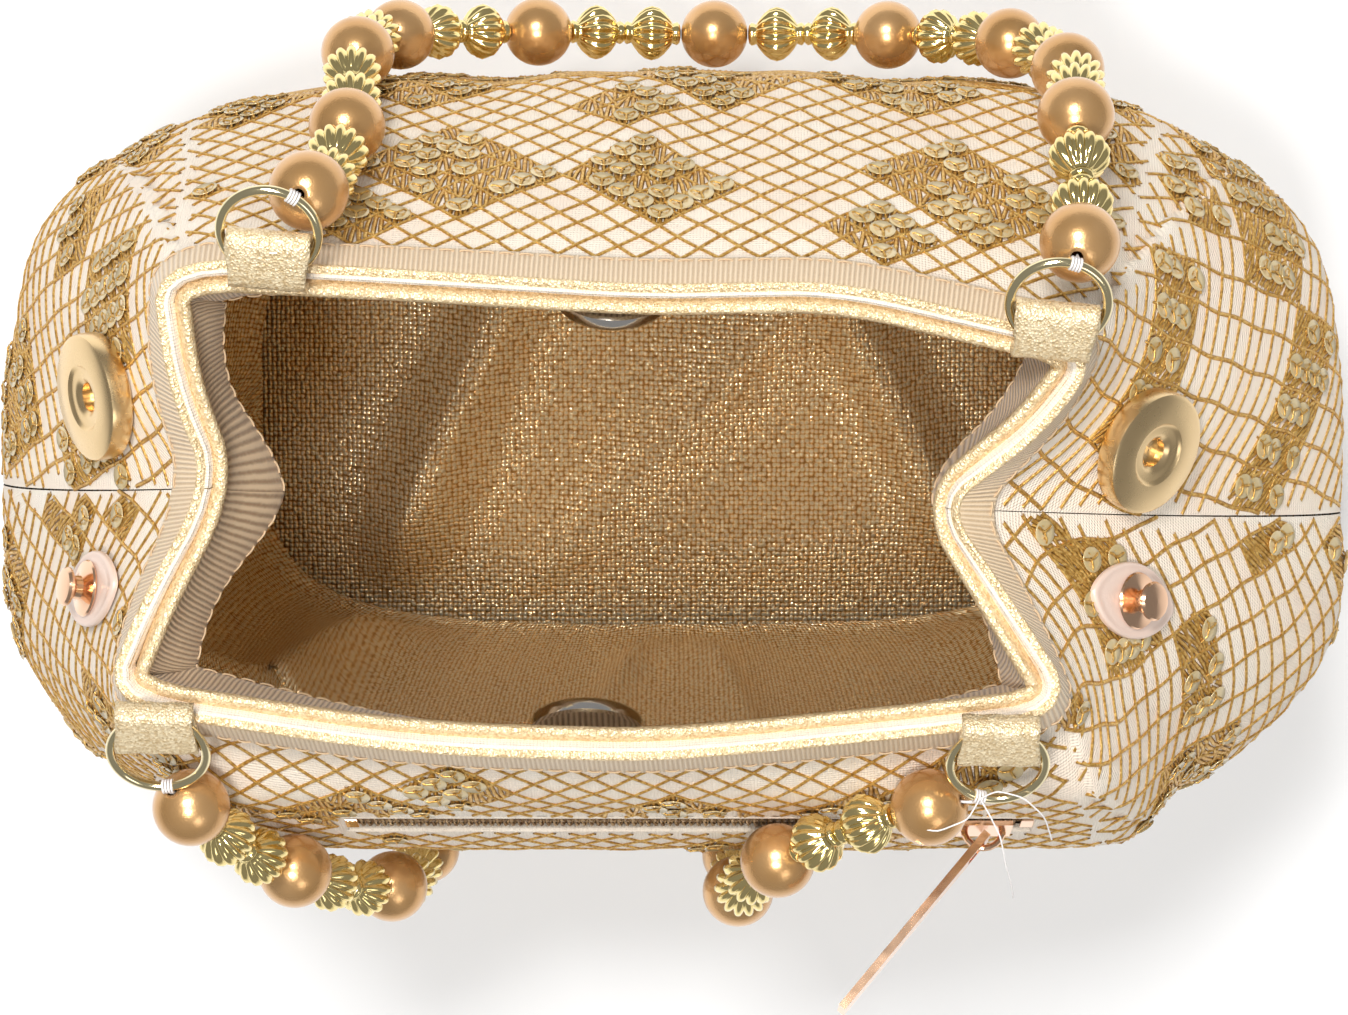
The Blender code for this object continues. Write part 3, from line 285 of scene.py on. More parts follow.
def round_tube(points, radius, sides=8):
    """Tube along any points, with its frame carried on from row to row."""
    points = np.asarray(points, float)
    tangents = unit(np.gradient(points, axis=0))
    normal = np.cross(tangents[0], (0.31, 0.22, 0.92))
    normals = []
    for tangent in tangents:
        normal = unit(normal - tangent * normal.dot(tangent))
        normals.append(normal)
    return tube(points, np.array(normals), radius, radius, sides)


def turned_rows(profile, center, axis, sides, ripple=None):
    """Rows of a solid of revolution; ripple gives a factor on the radius by row and angle."""
    axis = unit(np.asarray(axis, float))
    side = unit(np.cross(axis, (0.31, 0.22, 0.92)))
    other = np.cross(axis, side)
    angle = 2 * math.pi * np.arange(sides) / sides
    spoke = side[None] * np.cos(angle)[:, None] + other[None] * np.sin(angle)[:, None]
    rows = []
    for index, (radius, height) in enumerate(profile):
        factor = np.ones(sides) if ripple is None else ripple(index, angle)
        rows.append(np.asarray(center) + axis * height + spoke * (radius * factor)[:, None])
    return np.array(rows)


# Materials

def new_material(name, color, roughness, metallic=0.0, **sockets):
    made = bpy.data.materials.new(name)
    made.use_nodes = True
    shader = made.node_tree.nodes["Principled BSDF"]
    shader.inputs["Base Color"].default_value = (*color, 1.0)
    shader.inputs["Roughness"].default_value = roughness
    shader.inputs["Metallic"].default_value = metallic
    for key, value in sockets.items():
        shader.inputs[key.replace("_", " ")].default_value = value
    return made, made.node_tree, shader


def add_node(tree, kind, **values):
    node = tree.nodes.new(kind)
    for key, value in values.items():
        if hasattr(node, key):
            setattr(node, key, value)
        else:
            node.inputs[key.replace("_", " ")].default_value = value
    return node


def coordinates(tree, scale, kind="Object"):
    """Texture coordinates in millimetres: object ones are in metres, the cloth's own already in mm."""
    source = add_node(tree, "ShaderNodeTexCoord")
    mapping = add_node(tree, "ShaderNodeMapping")
    mapping.inputs["Scale"].default_value = (scale,) * 3
    tree.links.new(source.outputs[kind], mapping.inputs["Vector"])
    return mapping.outputs["Vector"]


def noise(tree, vector, scale, detail=3.0, roughness=0.55):
    node = add_node(tree, "ShaderNodeTexNoise", Scale=scale, Detail=detail, Roughness=roughness)
    tree.links.new(vector, node.inputs["Vector"])
    return node.outputs["Fac"]


def wave(tree, vector, direction, scale, distortion=0.0):
    node = add_node(tree, "ShaderNodeTexWave", bands_direction=direction, Scale=scale, Distortion=distortion)
    tree.links.new(vector, node.inputs["Vector"])
    return node.outputs["Fac"]


def ramp(tree, factor, stops):
    node = add_node(tree, "ShaderNodeValToRGB")
    while len(node.color_ramp.elements) < len(stops):
        node.color_ramp.elements.new(0.5)
    for element, (place, color) in zip(node.color_ramp.elements, stops):
        element.position = place
        element.color = (*color, 1.0)
    tree.links.new(factor, node.inputs["Fac"])
    return node.outputs["Color"]


def math_node(tree, operation, first, second):
    node = add_node(tree, "ShaderNodeMath", operation=operation)
    for socket, value in zip(node.inputs, (first, second)):
        if isinstance(value, (int, float)):
            socket.default_value = value
        else:
            tree.links.new(value, socket)
    return node.outputs["Value"]


def bump(tree, shader, height, distance, strength=1.0):
    node = add_node(tree, "ShaderNodeBump", Strength=strength, Distance=distance)
    tree.links.new(height, node.inputs["Height"])
    tree.links.new(node.outputs["Normal"], shader.inputs["Normal"])


def tint(tree, shader, factor, stops):
    tree.links.new(ramp(tree, factor, stops), shader.inputs["Base Color"])


def brocade_material():
    made, tree, shader = new_material("brocade_ground", (0.86, 0.75, 0.62), 0.62, Sheen_Weight=0.15)
    vector = coordinates(tree, 1.0, "UV")
    blotch = noise(tree, vector, 0.06, 3.0)
    tint(tree, shader, blotch, [(0.3, (0.87, 0.72, 0.58)), (0.55, (0.90, 0.79, 0.65)),
                                (0.75, (0.92, 0.84, 0.72))])
    weave = math_node(tree, "ADD", wave(tree, vector, "X", 0.62, 1.2), wave(tree, vector, "Y", 0.50, 1.6))
    crinkle = noise(tree, vector, 1.3, 4.0, 0.6)
    height = math_node(tree, "ADD", math_node(tree, "MULTIPLY", weave, 0.35), crinkle)
    bump(tree, shader, height, 0.0003, 0.75)
    return made


def zari_material():
    made, tree, shader = new_material("zari_thread", (0.60, 0.34, 0.09), 0.36, 0.65)
    vector = coordinates(tree, 1000.0)
    grain = noise(tree, vector, 1.6, 2.0)
    tint(tree, shader, grain, [(0.3, (0.40, 0.20, 0.035)), (0.5, (0.63, 0.36, 0.085)),
                               (0.72, (0.88, 0.62, 0.22))])
    bump(tree, shader, grain, 0.0002, 0.9)
    return made


def sequin_material():
    made, tree, shader = new_material("sequin_film", (0.60, 0.47, 0.24), 0.25, 0.25, Coat_Weight=0.5,
                                      Coat_Roughness=0.12)
    vector = coordinates(tree, 1000.0)
    tint(tree, shader, noise(tree, vector, 0.08, 1.0),
         [(0.35, (0.54, 0.41, 0.19)), (0.65, (0.70, 0.56, 0.31))])
    bump(tree, shader, noise(tree, vector, 0.7, 1.0), 0.0002, 0.35)
    return made


def tape_material(name, dark, light, pitch_scale):
    made, tree, shader = new_material(name, light, 0.58, Sheen_Weight=0.2)
    vector = coordinates(tree, 1.0, "UV")
    ribs = wave(tree, vector, "X", pitch_scale, 0.35)
    fine = noise(tree, vector, 2.2, 2.0)
    height = math_node(tree, "ADD", ribs, math_node(tree, "MULTIPLY", fine, 0.5))
    # Colour follows the rib height, so the darker colour low in the ribs is painted shade in the grooves;
    # the fine noise adds the tape's own uneven tone.
    tint(tree, shader, height, [(0.25, dark), (0.95, light)])
    bump(tree, shader, height, 0.0004, 0.6)
    return made


def glitter_material(name, dark, light, metallic=0.45):
    made, tree, shader = new_material(name, light, 0.42, metallic)
    vector = coordinates(tree, 1000.0)
    cells = add_node(tree, "ShaderNodeTexVoronoi", Scale=2.6)
    tree.links.new(vector, cells.inputs["Vector"])
    tint(tree, shader, cells.outputs["Color"], [(0.2, dark), (0.8, light)])
    height = math_node(tree, "ADD", cells.outputs["Distance"], noise(tree, vector, 1.1, 2.0))
    bump(tree, shader, height, 0.0003, 0.55)
    return made


def lurex_material():
    made, tree, shader = new_material("lurex_lining", (0.80, 0.56, 0.28), 0.27, 0.6)
    vector = coordinates(tree, 1.0, "UV")
    cells = add_node(tree, "ShaderNodeTexVoronoi", Scale=1.1, Randomness=0.3)
    tree.links.new(vector, cells.inputs["Vector"])
    dots = math_node(tree, "SUBTRACT", 1.0, cells.outputs["Distance"])
    grain = noise(tree, vector, 0.9, 2.0)
    tone = math_node(tree, "ADD", dots, math_node(tree, "MULTIPLY", grain, 0.5))
    tint(tree, shader, tone, [(0.60, (0.50, 0.27, 0.09)), (0.77, (0.95, 0.62, 0.28)),
                              (0.94, (1.0, 0.90, 0.62))])
    height = math_node(tree, "ADD", dots, math_node(tree, "MULTIPLY", grain, 0.9))
    bump(tree, shader, height, 0.0008, 0.9)
    return made


def metal_material(name, color, roughness):
    made, tree, shader = new_material(name, color, roughness, 1.0)
    vector = coordinates(tree, 1000.0)
    grain = noise(tree, vector, 0.35, 3.0)
    rough = add_node(tree, "ShaderNodeMapRange")
    rough.inputs["To Min"].default_value = roughness - METAL_WEAR
    rough.inputs["To Max"].default_value = roughness + METAL_WEAR
    tree.links.new(grain, rough.inputs["Value"])
    tree.links.new(rough.outputs["Result"], shader.inputs["Roughness"])
    bump(tree, shader, noise(tree, vector, 0.12, 2.0), 0.0002, 0.12)
    return made


def pearl_material():
    made, tree, shader = new_material("copper_pearl", (0.66, 0.38, 0.15), 0.27, 0.72, Coat_Weight=0.35,
                                      Coat_Roughness=0.18)
    vector = coordinates(tree, 1000.0)
    tint(tree, shader, noise(tree, vector, 0.12, 2.0),
         [(0.3, (0.60, 0.33, 0.12)), (0.7, (0.72, 0.43, 0.19))])
    bump(tree, shader, noise(tree, vector, 2.5, 1.0), 0.00012, 0.2)
    return made


def patch_material():
    made, tree, shader = new_material("rose_patch", (0.80, 0.62, 0.52), 0.38, 0.15, Coat_Weight=0.2)
    vector = coordinates(tree, 1000.0)
    bump(tree, shader, noise(tree, vector, 1.4, 3.0), 0.0002, 0.3)
    return made


def thread_material():
    made, tree, shader = new_material("nylon_thread", (0.86, 0.82, 0.80), 0.4)
    bump(tree, shader, noise(tree, coordinates(tree, 1000.0), 3.0, 1.0), 0.0002, 0.5)
    return made


BROCADE = brocade_material()
ZARI = zari_material()
SEQUIN = sequin_material()
BAND = tape_material("rim_tape", (0.58, 0.41, 0.24), (0.82, 0.64, 0.43), 0.42)
FACING = tape_material("facing_tape", (0.36, 0.22, 0.11), (0.78, 0.57, 0.35), 0.36)
ROLL = glitter_material("glitter_roll", (0.66, 0.47, 0.24), (0.92, 0.74, 0.47))
LOOP_CLOTH = glitter_material("glitter_loop", (0.68, 0.50, 0.27), (0.94, 0.79, 0.53))
LUREX = lurex_material()
ZIP_TAPE = tape_material("zip_weave", (0.16, 0.09, 0.04), (0.44, 0.29, 0.15), 0.5)
COIL = glitter_material("zip_coil", (0.22, 0.12, 0.05), (0.52, 0.34, 0.17), 0.3)
POCKET = glitter_material("pocket_cloth", (0.30, 0.19, 0.10), (0.50, 0.35, 0.20), 0.2)
ROSE = metal_material("rose_gold", (0.90, 0.58, 0.38), 0.16)
PALE = metal_material("pale_gold", (0.90, 0.78, 0.47), 0.12)
SATIN = metal_material("satin_gold", (0.82, 0.60, 0.32), 0.28)
BRIGHT = metal_material("bright_gold", (0.92, 0.74, 0.33), 0.13)
NICKEL = metal_material("bright_nickel", (0.80, 0.77, 0.73), 0.14)
PEARL = pearl_material()
PATCH = patch_material()
NYLON = thread_material()


# Outer fabric

class Panel:
    """One outer panel as a fine grid with its own flat coordinates along and down the cloth."""

    columns = 230
    rows = 120

    def __init__(self, name, first, last):
        self.name = name
        self.bearing = np.linspace(first, last, self.columns)
        self.depth = np.concatenate((np.linspace(0.0, 1.0, 64)[:-1], np.linspace(1.0, 2.0, self.rows - 63)))
        bearing, depth = np.meshgrid(self.bearing, self.depth)
        plain = surface(bearing, depth)
        self.normal = surface_normal(bearing, depth)
        self.point = plain + self.normal * fold_field(bearing, depth)[..., None]
        self.u = distance_along(plain, 1)
        self.u -= self.u[:, self.columns // 2][:, None]
        self.v = distance_along(plain)
        corners = sorted(corner for corner in CREASES if min(first, last) < corner < max(first, last))
        self.zones = [min(first, last)] + corners + [max(first, last)]
        self.lowest = self.v.max()
        self.count = int((np.abs(self.u).max() + self.lowest) / NET_PITCH) + 2

    def locate(self, u, v):
        """Row and column, with fractions, of a place on the cloth, and whether it is on it."""
        column = np.full(len(u), (self.columns - 1) / 2.0)
        for _ in range(9):
            row, fits_down = position(blend_columns(self.v, column).T, v)
            column, fits_along = position(blend_rows(self.u, row), u)
        return row, column, fits_down & fits_along

    def locate_in_zone(self, u, v, zone, margin=0.0):
        row, column, fits = self.locate(u, v)
        bearing = np.interp(column, np.arange(self.columns), self.bearing)
        low, high = self.zones[zone:zone + 2]
        return row, column, fits & (bearing > low + margin) & (bearing < high - margin)

    def place(self, row, column):
        return self.sample(row, column, self.point), unit(self.sample(row, column, self.normal))

    def sample(self, row, column, field):
        low_row = np.clip(row.astype(int), 0, self.rows - 2)
        low_column = np.clip(column.astype(int), 0, self.columns - 2)
        down = (row - low_row)[:, None]
        along = (column - low_column)[:, None]
        upper = field[low_row, low_column] * (1 - along) + field[low_row, low_column + 1] * along
        lower = field[low_row + 1, low_column] * (1 - along) + field[low_row + 1, low_column + 1] * along
        return upper * (1 - down) + lower * down


def blend_columns(field, column):
    low = np.clip(column.astype(int), 0, field.shape[1] - 2)
    share = column - low
    return field[:, low] * (1 - share) + field[:, low + 1] * share


def blend_rows(field, row):
    low = np.clip(row.astype(int), 0, field.shape[0] - 2)
    share = (row - low)[:, None]
    return field[low] * (1 - share) + field[low + 1] * share


def position(profiles, values):
    """Fractional place of each value in its own rising profile."""
    count = (profiles < values[:, None]).sum(axis=1)
    fits = (count > 0) & (count < profiles.shape[1])
    high = np.clip(count, 1, profiles.shape[1] - 1)
    index = np.arange(len(values))
    low_value = profiles[index, high - 1]
    high_value = profiles[index, high]
    share = np.clip((values - low_value) / np.maximum(high_value - low_value, 1e-9), 0.0, 1.0)
    return high - 1 + share, fits


def in_slot(points, margin=0.0):
    offset = points - ZIP_CENTER
    flat = np.abs(offset @ ZIP_OUT) < ZIP_NEAR
    within_length = np.abs(offset[..., 0]) < ZIP_LENGTH / 2 + margin
    return flat & within_length & (np.abs(offset @ ZIP_UP) < ZIP_SLOT_HEIGHT / 2 + margin)


def snap_to_slot(points):
    """Moves the grid's points nearest to the zip's opening onto its straight edges."""
    offset = points - ZIP_CENTER
    up = offset @ ZIP_UP
    near = in_slot(points, 0.001)
    to_up = np.sign(up) * ZIP_SLOT_HEIGHT / 2 - up
    to_x = np.sign(offset[..., 0]) * ZIP_LENGTH / 2 - offset[..., 0]
    move_up = near & (np.abs(to_up) < SLOT_SNAP)
    points = points + ZIP_UP * np.where(move_up, to_up, 0.0)[..., None]
    points[..., 0] += np.where(near & (np.abs(to_x) < SLOT_SNAP), to_x, 0.0)
    return points


def make_panel(panel, node):
    points = snap_to_slot(panel.point) if node == "front_panel" else panel.point
    turned_in = np.array([points[0] - panel.normal[0] * step * MM + np.array((0, 0, rise * MM))
                          for step, rise in ((1.5, -4.0), (0.8, 0.1))])
    grid = np.concatenate((turned_in, points))
    faces = grid_faces(*grid.shape[:2])
    flat = grid.reshape(-1, 3)
    if node == "front_panel":
        faces = faces[~in_slot(flat[faces].mean(axis=1))]
    u = np.concatenate((panel.u[:1], panel.u[:1], panel.u))
    v = np.concatenate((panel.v[:1] - 0.004, panel.v[:1] - 0.001, panel.v))
    piece = mesh_object("cloth_" + node, flat, faces, np.stack((u, v), -1).reshape(-1, 2) / MM)
    return dress(piece, BROCADE, "bag", [node])


def zone_shift(index):
    return (0.0, 3.1 * MM, 5.7 * MM)[index % 3]


def net_lines(panel, top):
    """Thread runs of the diamond net: lists of points and normals, broken at pleats and the zip."""
    runs = []
    v = np.arange(top, panel.lowest, 2.0 * MM)
    for zone in range(len(panel.zones) - 1):
        for lean in (1, -1):
            for index in range(-panel.count, panel.count):
                stagger = 0.22 * MM * np.sin(v / (1.9 * MM) + index * 1.7)
                stagger += 0.25 * MM * math.sin(index * 2.4)
                u = index * NET_PITCH + lean * v + zone_shift(zone) + stagger
                row, column, fits = panel.locate_in_zone(u, v, zone)
                if not fits.any():
                    continue
                point, normal = panel.place(row, column)
                fits &= ~in_slot(point, 0.0003)
                edges = np.flatnonzero(np.diff(np.concatenate(([0], fits.astype(int), [0]))))
                for start, end in zip(edges[::2], edges[1::2]):
                    if end - start >= 2:
                        runs.append((point[start:end], normal[start:end]))
    return runs


def make_net(panel, node):
    pile = Pile()
    for points, normals in net_lines(panel, 8.6 * MM):
        pile.add_grid(tube(points + normals * 0.12 * MM, normals, 0.36 * MM, 0.24 * MM, 4))
    dress(pile.make("net_" + node), ZARI, "bag")


def filled(i, j):
    """True for the diamonds of the net that carry stitches and sequins."""
    a, b = i % 13, j % 13
    main = (a < 5) & (b < 6)
    step = (a >= 5) & (a < 9) & (b >= 6) & (b < 11)
    link = (a >= 9) & (a < 12) & (b >= 2) & (b < 5)
    return main | step | link


def make_patches(panel, node):
    """Satin stitches and cup sequins in the filled diamonds."""
    stitches = Pile()
    sequins = Pile()
    generator = np.random.default_rng(11 if node == "front_panel" else 12)
    numbers = np.arange(-panel.count, panel.count)
    for zone in range(len(panel.zones) - 1):
        i, j = (grid.ravel() for grid in np.meshgrid(numbers, numbers))
        keep = filled(i + 3 * zone, j + 2 * zone)
        i, j = i[keep], j[keep]
        v = (i - j) * NET_PITCH / 2
        u = (i + j + 1) * NET_PITCH / 2 + zone_shift(zone)
        inside = (v > 11 * MM) & (v < panel.lowest)
        u, v = u[inside], v[inside]
        row, column, fits = panel.locate_in_zone(u, v, zone, 1.5)
        for place in np.flatnonzero(fits):
            mode = generator.random()
            for line in range(STITCHES):
                shift = (line - (STITCHES - 1) / 2) * STITCH_PITCH
                half = (NET_PITCH / 2 - abs(shift)) * 0.95
                lean = generator.normal(0, 0.35 * MM)
                ends_u = u[place] + shift + np.array((-lean, 0.0, lean))
                ends_v = v[place] + np.array((-half, 0.0, half))
                ends_row, ends_column, on_cloth = panel.locate(ends_u, ends_v)
                if not on_cloth.all():
                    continue
                points, normals = panel.place(ends_row, ends_column)
                if in_slot(points, 0.0008).any():
                    continue
                rise = np.array((0.05, 0.32, 0.05))[:, None] * MM
                stitches.add_grid(tube(points + normals * rise, normals, 0.40 * MM, 0.2 * MM, 4))
            if mode < SEQUIN_SHARE:
                point, normal = (values[0] for values in panel.place(row[[place]], column[[place]]))
                if in_slot(point, 0.003) or point[2] < 0.006:
                    continue
                tilt = unit(normal + generator.normal(0, 0.035, 3))
                profile = [(0.4 * MM, 0.55 * MM), (1.1 * MM, 0.48 * MM), (2.05 * MM, 0.8 * MM),
                           (2.1 * MM, 0.7 * MM), (1.1 * MM, 0.36 * MM)]
                sequins.add_grid(turned_rows(profile, point, tilt, 14))
                for turn in range(3):
                    angle = turn * 2.094 + generator.random() * 0.5
                    side = unit(np.cross(normal, (0.3, 0.2, 0.9)))
                    other = np.cross(normal, side)
                    spoke = side * math.cos(angle) + other * math.sin(angle)
                    run = np.array([point + normal * 0.7 * MM,
                                    point + spoke * 1.3 * MM + normal * 0.9 * MM,
                                    point + spoke * 2.5 * MM + normal * 0.2 * MM])
                    stitches.add_grid(tube(run, np.array([normal] * 3), 0.22 * MM, 0.18 * MM, 4))
    dress(stitches.make("stitches_" + node), ZARI, "bag")
    dress(sequins.make("sequins_" + node), SEQUIN, "bag")


def make_base():
    """Base cloth: a slightly domed, rounded disc inside the panels' lower edges."""
    bearing = np.linspace(-180.0, 180.0, 161)[:-1]
    edge = superellipse(bearing, BASE_HALF_LENGTH, BASE_HALF_WIDTH, BASE_SQUARENESS)
    rows = []
    uvs = []
    for share, height in ((1.0, 1.5), (0.998, 0.3), (0.985, 0.05), (0.9, 0.0), (0.6, 0.0), (0.3, 0.0),
                          (0.02, 0.0)):
        ring = edge * share
        ring[:, 2] = height * MM
        rows.append(ring)
        uvs.append(ring[:, :2] / MM)
    rows = np.array(rows)
    piece = grid_object("cloth_base", rows, np.array(uvs), closed_columns=True)
    dress(piece, BROCADE, "bag", ["base_panel"])


# Rim, facing and lining

RIM_BEARINGS = np.linspace(LEFT_SEAM, LEFT_SEAM - 360.0, 521)[:-1]
DROP_DEPTHS = np.linspace(0.0, 0.6, 121)
DROP_GRID = surface(*np.meshgrid(RIM_BEARINGS, DROP_DEPTHS))
DROP_TABLE = distance_along(DROP_GRID)
RIM_RUN = distance_along(surface(RIM_BEARINGS, 0.0)) / MM


def gusset_push(bearing, depth):
    """Inward push of the facing and lining where the sides fold in."""
    sides = np.cos(np.radians(bearing)) ** 2
    push = 8.5 * MM * sides * smooth_step(depth / 0.16) * (1.0 - smooth_step((depth - 0.22) / 0.35))
    flap = smooth_step((depth - 0.01) / 0.13) * (1.0 - smooth_step((depth - 0.20) / 0.22))
    for notch, size in ((180.5, 8.0), (-3.0, 8.0)):
        away = (bearing - notch + 180.0) % 360.0 - 180.0
        push = push + size * MM * np.exp(-np.abs(away / 5.5) ** 1.6) * flap
    return push


def rim_row(drop, offset, lining=False):
    """Points all the way round, a drop below the rim and an offset outward from the outer face."""
    depth = np.array([np.interp(max(drop, 0.0), DROP_TABLE[:, k], DROP_DEPTHS)
                      for k in range(len(RIM_BEARINGS))])
    normal = surface_normal(RIM_BEARINGS, depth)
    extra = lining_offset(depth) - gusset_push(RIM_BEARINGS, depth) if lining else 0.0
    point = surface(RIM_BEARINGS, depth) + normal * np.broadcast_to(extra + offset, depth.shape)[:, None]
    if drop < 0:
        down = unit(surface(RIM_BEARINGS, 0.02) - surface(RIM_BEARINGS, 0.0))
        point += down * drop
    return point


def strip(name, section, finish, body, replaced, lining=False):
    rows = np.array([rim_row(drop * MM, offset * MM, lining) for drop, offset in section])
    rows = np.concatenate((rows, rows[:, :1]), axis=1)
    along = np.concatenate((RIM_RUN, RIM_RUN[-1:] + 0.8))
    heights = np.concatenate(([0.0], np.cumsum([math.dist(a, b) for a, b in zip(section, section[1:])])))
    uvs = np.stack(np.meshgrid(along, heights), -1)
    piece = grid_object(name, rows, uvs)
    return dress(piece, finish, body, replaced)


def make_rim():
    strip("band_outer", [(8.4, 0.35), (8.3, 0.8), (7.9, 0.95), (7.4, 0.85), (6.9, 0.95), (5.0, 1.0),
                         (3.0, 1.05), (1.4, 1.1), (0.9, 1.0)],
          BAND, "bag", ["rim_band"])
    strip("roll_outer", [(1.3, 0.9), (0.9, 1.2), (0.4, 1.2), (0.3, 0.85), (0.12, 0.4), (0.08, -0.2),
                         (0.18, -0.75), (0.4, -1.05), (1.0, -1.1), (5.5, -1.1)],
          ROLL, "bag", [])
    strip("roll_inner", [(5.5, -2.0), (1.0, -2.05), (0.2, -2.15), (-0.35, -2.5), (-0.6, -3.05),
                         (-0.4, -3.6), (0.1, -4.0), (0.8, -4.2), (1.7, -4.15)],
          ROLL, "bag", [])
    strip("facing_inner", [(1.0, -1.9), (1.6, -2.0), (3.5, -2.0), (6.0, -2.0), (8.5, -2.0), (10.8, -1.95),
                           (11.6, -2.1), (12.2, -1.9), (12.4, -1.2)],
          FACING, "bag", ["lining_facing"], lining=True)
    stitch_row("stitches_band", 7.4, 1.0, False)
    stitch_row("stitches_facing", 11.0, -2.15, True)


def stitch_row(name, drop, offset, lining):
    """Machine stitches along a strip's edge."""
    line = rim_row(drop * MM, offset * MM, lining)
    outward = unit(rim_row(drop * MM, (offset + 1) * MM, lining) - line) * (-1 if lining else 1)
    run = distance_along(line)
    pile = Pile()
    for index in range(int(run[-1] / MACHINE_STITCH_PITCH)):
        places = index * MACHINE_STITCH_PITCH + np.array((0.2, 0.7, 1.3, 1.9, 2.4)) * MM
        points = np.stack([np.interp(places, run, line[:, axis]) for axis in range(3)], -1)
        normals = np.stack([np.interp(places, run, outward[:, axis]) for axis in range(3)], -1)
        rise = np.array((-0.1, 0.08, 0.12, 0.08, -0.1))[:, None] * MM
        pile.add_grid(tube(points + normals * rise, normals, 0.2 * MM, 0.16 * MM, 5))
    dress(pile.make(name), BAND, "bag")


FLOOR_RIDGES = ((-0.042, 0.45, 17.0, 0.010), (0.043, -0.50, 14.0, 0.009), (0.004, 0.9, 7.0, 0.012))
LINING_RIDGES = (
    (152.0, 9.0, 5.0, -14.0), (28.0, 9.0, 5.0, 10.0), (-158.0, 10.0, 5.0, 16.0), (-24.0, 9.0, 4.5, -12.0),
    (-118.0, 6.0, 4.0, 18.0), (66.0, 6.0, 4.5, -16.0), (108.0, 7.0, 5.0, 20.0), (-66.0, 5.0, 4.0, -14.0),
)


def lining_folds(bearing, depth):
    """Inward push of the lining's soft folds."""
    angle = np.radians(bearing)
    body = smooth_step((depth - 0.2) / 0.5) * (1.0 - smooth_step((depth - 1.35) / 0.4))
    waves = np.sin(5 * angle + 0.8 + 1.1 * depth) + 0.7 * np.sin(11 * angle + 2.0 - 2.0 * depth)
    waves += 0.4 * np.sin(23 * angle + 3.2 * depth)
    push = 1.2 * MM * (waves + 1.6) * body
    for corner, size, width, drift in LINING_RIDGES:
        away = (bearing - corner - drift * (depth - 0.3) + 180.0) % 360.0 - 180.0
        push += size * MM * np.exp(-np.abs(away / width) ** 1.4) * body
    return push + gusset_push(bearing, depth)


def make_lining():
    bearing = np.linspace(LEFT_SEAM, LEFT_SEAM - 360.0, 361)
    depth = np.concatenate((np.linspace(0.012, 1.0, 70), np.linspace(1.0, 1.9, 40)[1:]))
    bearing, depth = np.meshgrid(bearing, depth)
    normal = surface_normal(bearing, depth)
    offset = lining_offset(depth) - 0.9 * MM - lining_folds(bearing, depth)
    points = surface(bearing, depth) + normal * offset[..., None]
    slack = 0.12 * smooth_step((depth - 0.15) / 1.0)
    points[..., :2] *= (1.0 - slack)[..., None]
    floor = 2.6 * MM
    points[..., 2] = np.maximum(points[..., 2], floor)
    down = distance_along(points)
    along = distance_along(points[LINING_UV_ROW])
    uvs = np.stack((np.broadcast_to(along, down.shape), down), -1) / MM
    piece = grid_object("lining_cloth", points, uvs)
    dress(piece, LUREX, "bag", ["lining"])
    edge = points[-1] * np.array((1.0, 1.0, 0.0))
    shares = np.linspace(1.02, 0.0, 40)
    rows = edge[None] * shares[:, None, None]
    x, y = rows[..., 0], rows[..., 1]
    swell = 3.0 * (1 + 0.6 * np.sin(x * 70 + 1.0 + y * 40) + 0.4 * np.sin(y * 120 - x * 60))
    for across, lean, height, width in FLOOR_RIDGES:
        swell += height * np.exp(-np.abs((x - across - lean * y) / width) ** 1.5)
    rows[..., 2] = floor - 0.3 * MM + swell * MM * smooth_step((1.0 - shares) / 0.45)[:, None]
    rows[0, :, 2] = floor - 0.3 * MM
    piece = grid_object("lining_floor", rows, rows[..., :2] / MM)
    dress(piece, LUREX, "bag")


# Handles

def node_center(name):
    verts = NODES[name].data.vertices
    return np.mean([vertex.co for vertex in verts], axis=0)


def handle_frames(handle):
    bearings = np.array(handle["bearings"])
    normal = surface_normal(bearings, np.zeros(2))
    level = unit(normal * np.array((1.0, 1.0, 0.0)))
    roots = surface(bearings, np.zeros(2)) + level * handle["out"] + np.array((0, 0, handle["rise"]))
    axis = unit(roots[1] - roots[0])
    outward = unit(np.cross(axis, (0, 0, 1)))
    if outward[1] * roots.mean(axis=0)[1] < 0:
        outward = -outward
    angle = math.radians(handle["tilt"])
    reach = outward * math.cos(angle) - np.array((0, 0, 1)) * math.sin(angle)
    lift = unit(np.cross(axis, reach))
    return roots, axis, reach, lift if lift[2] > 0 else -lift


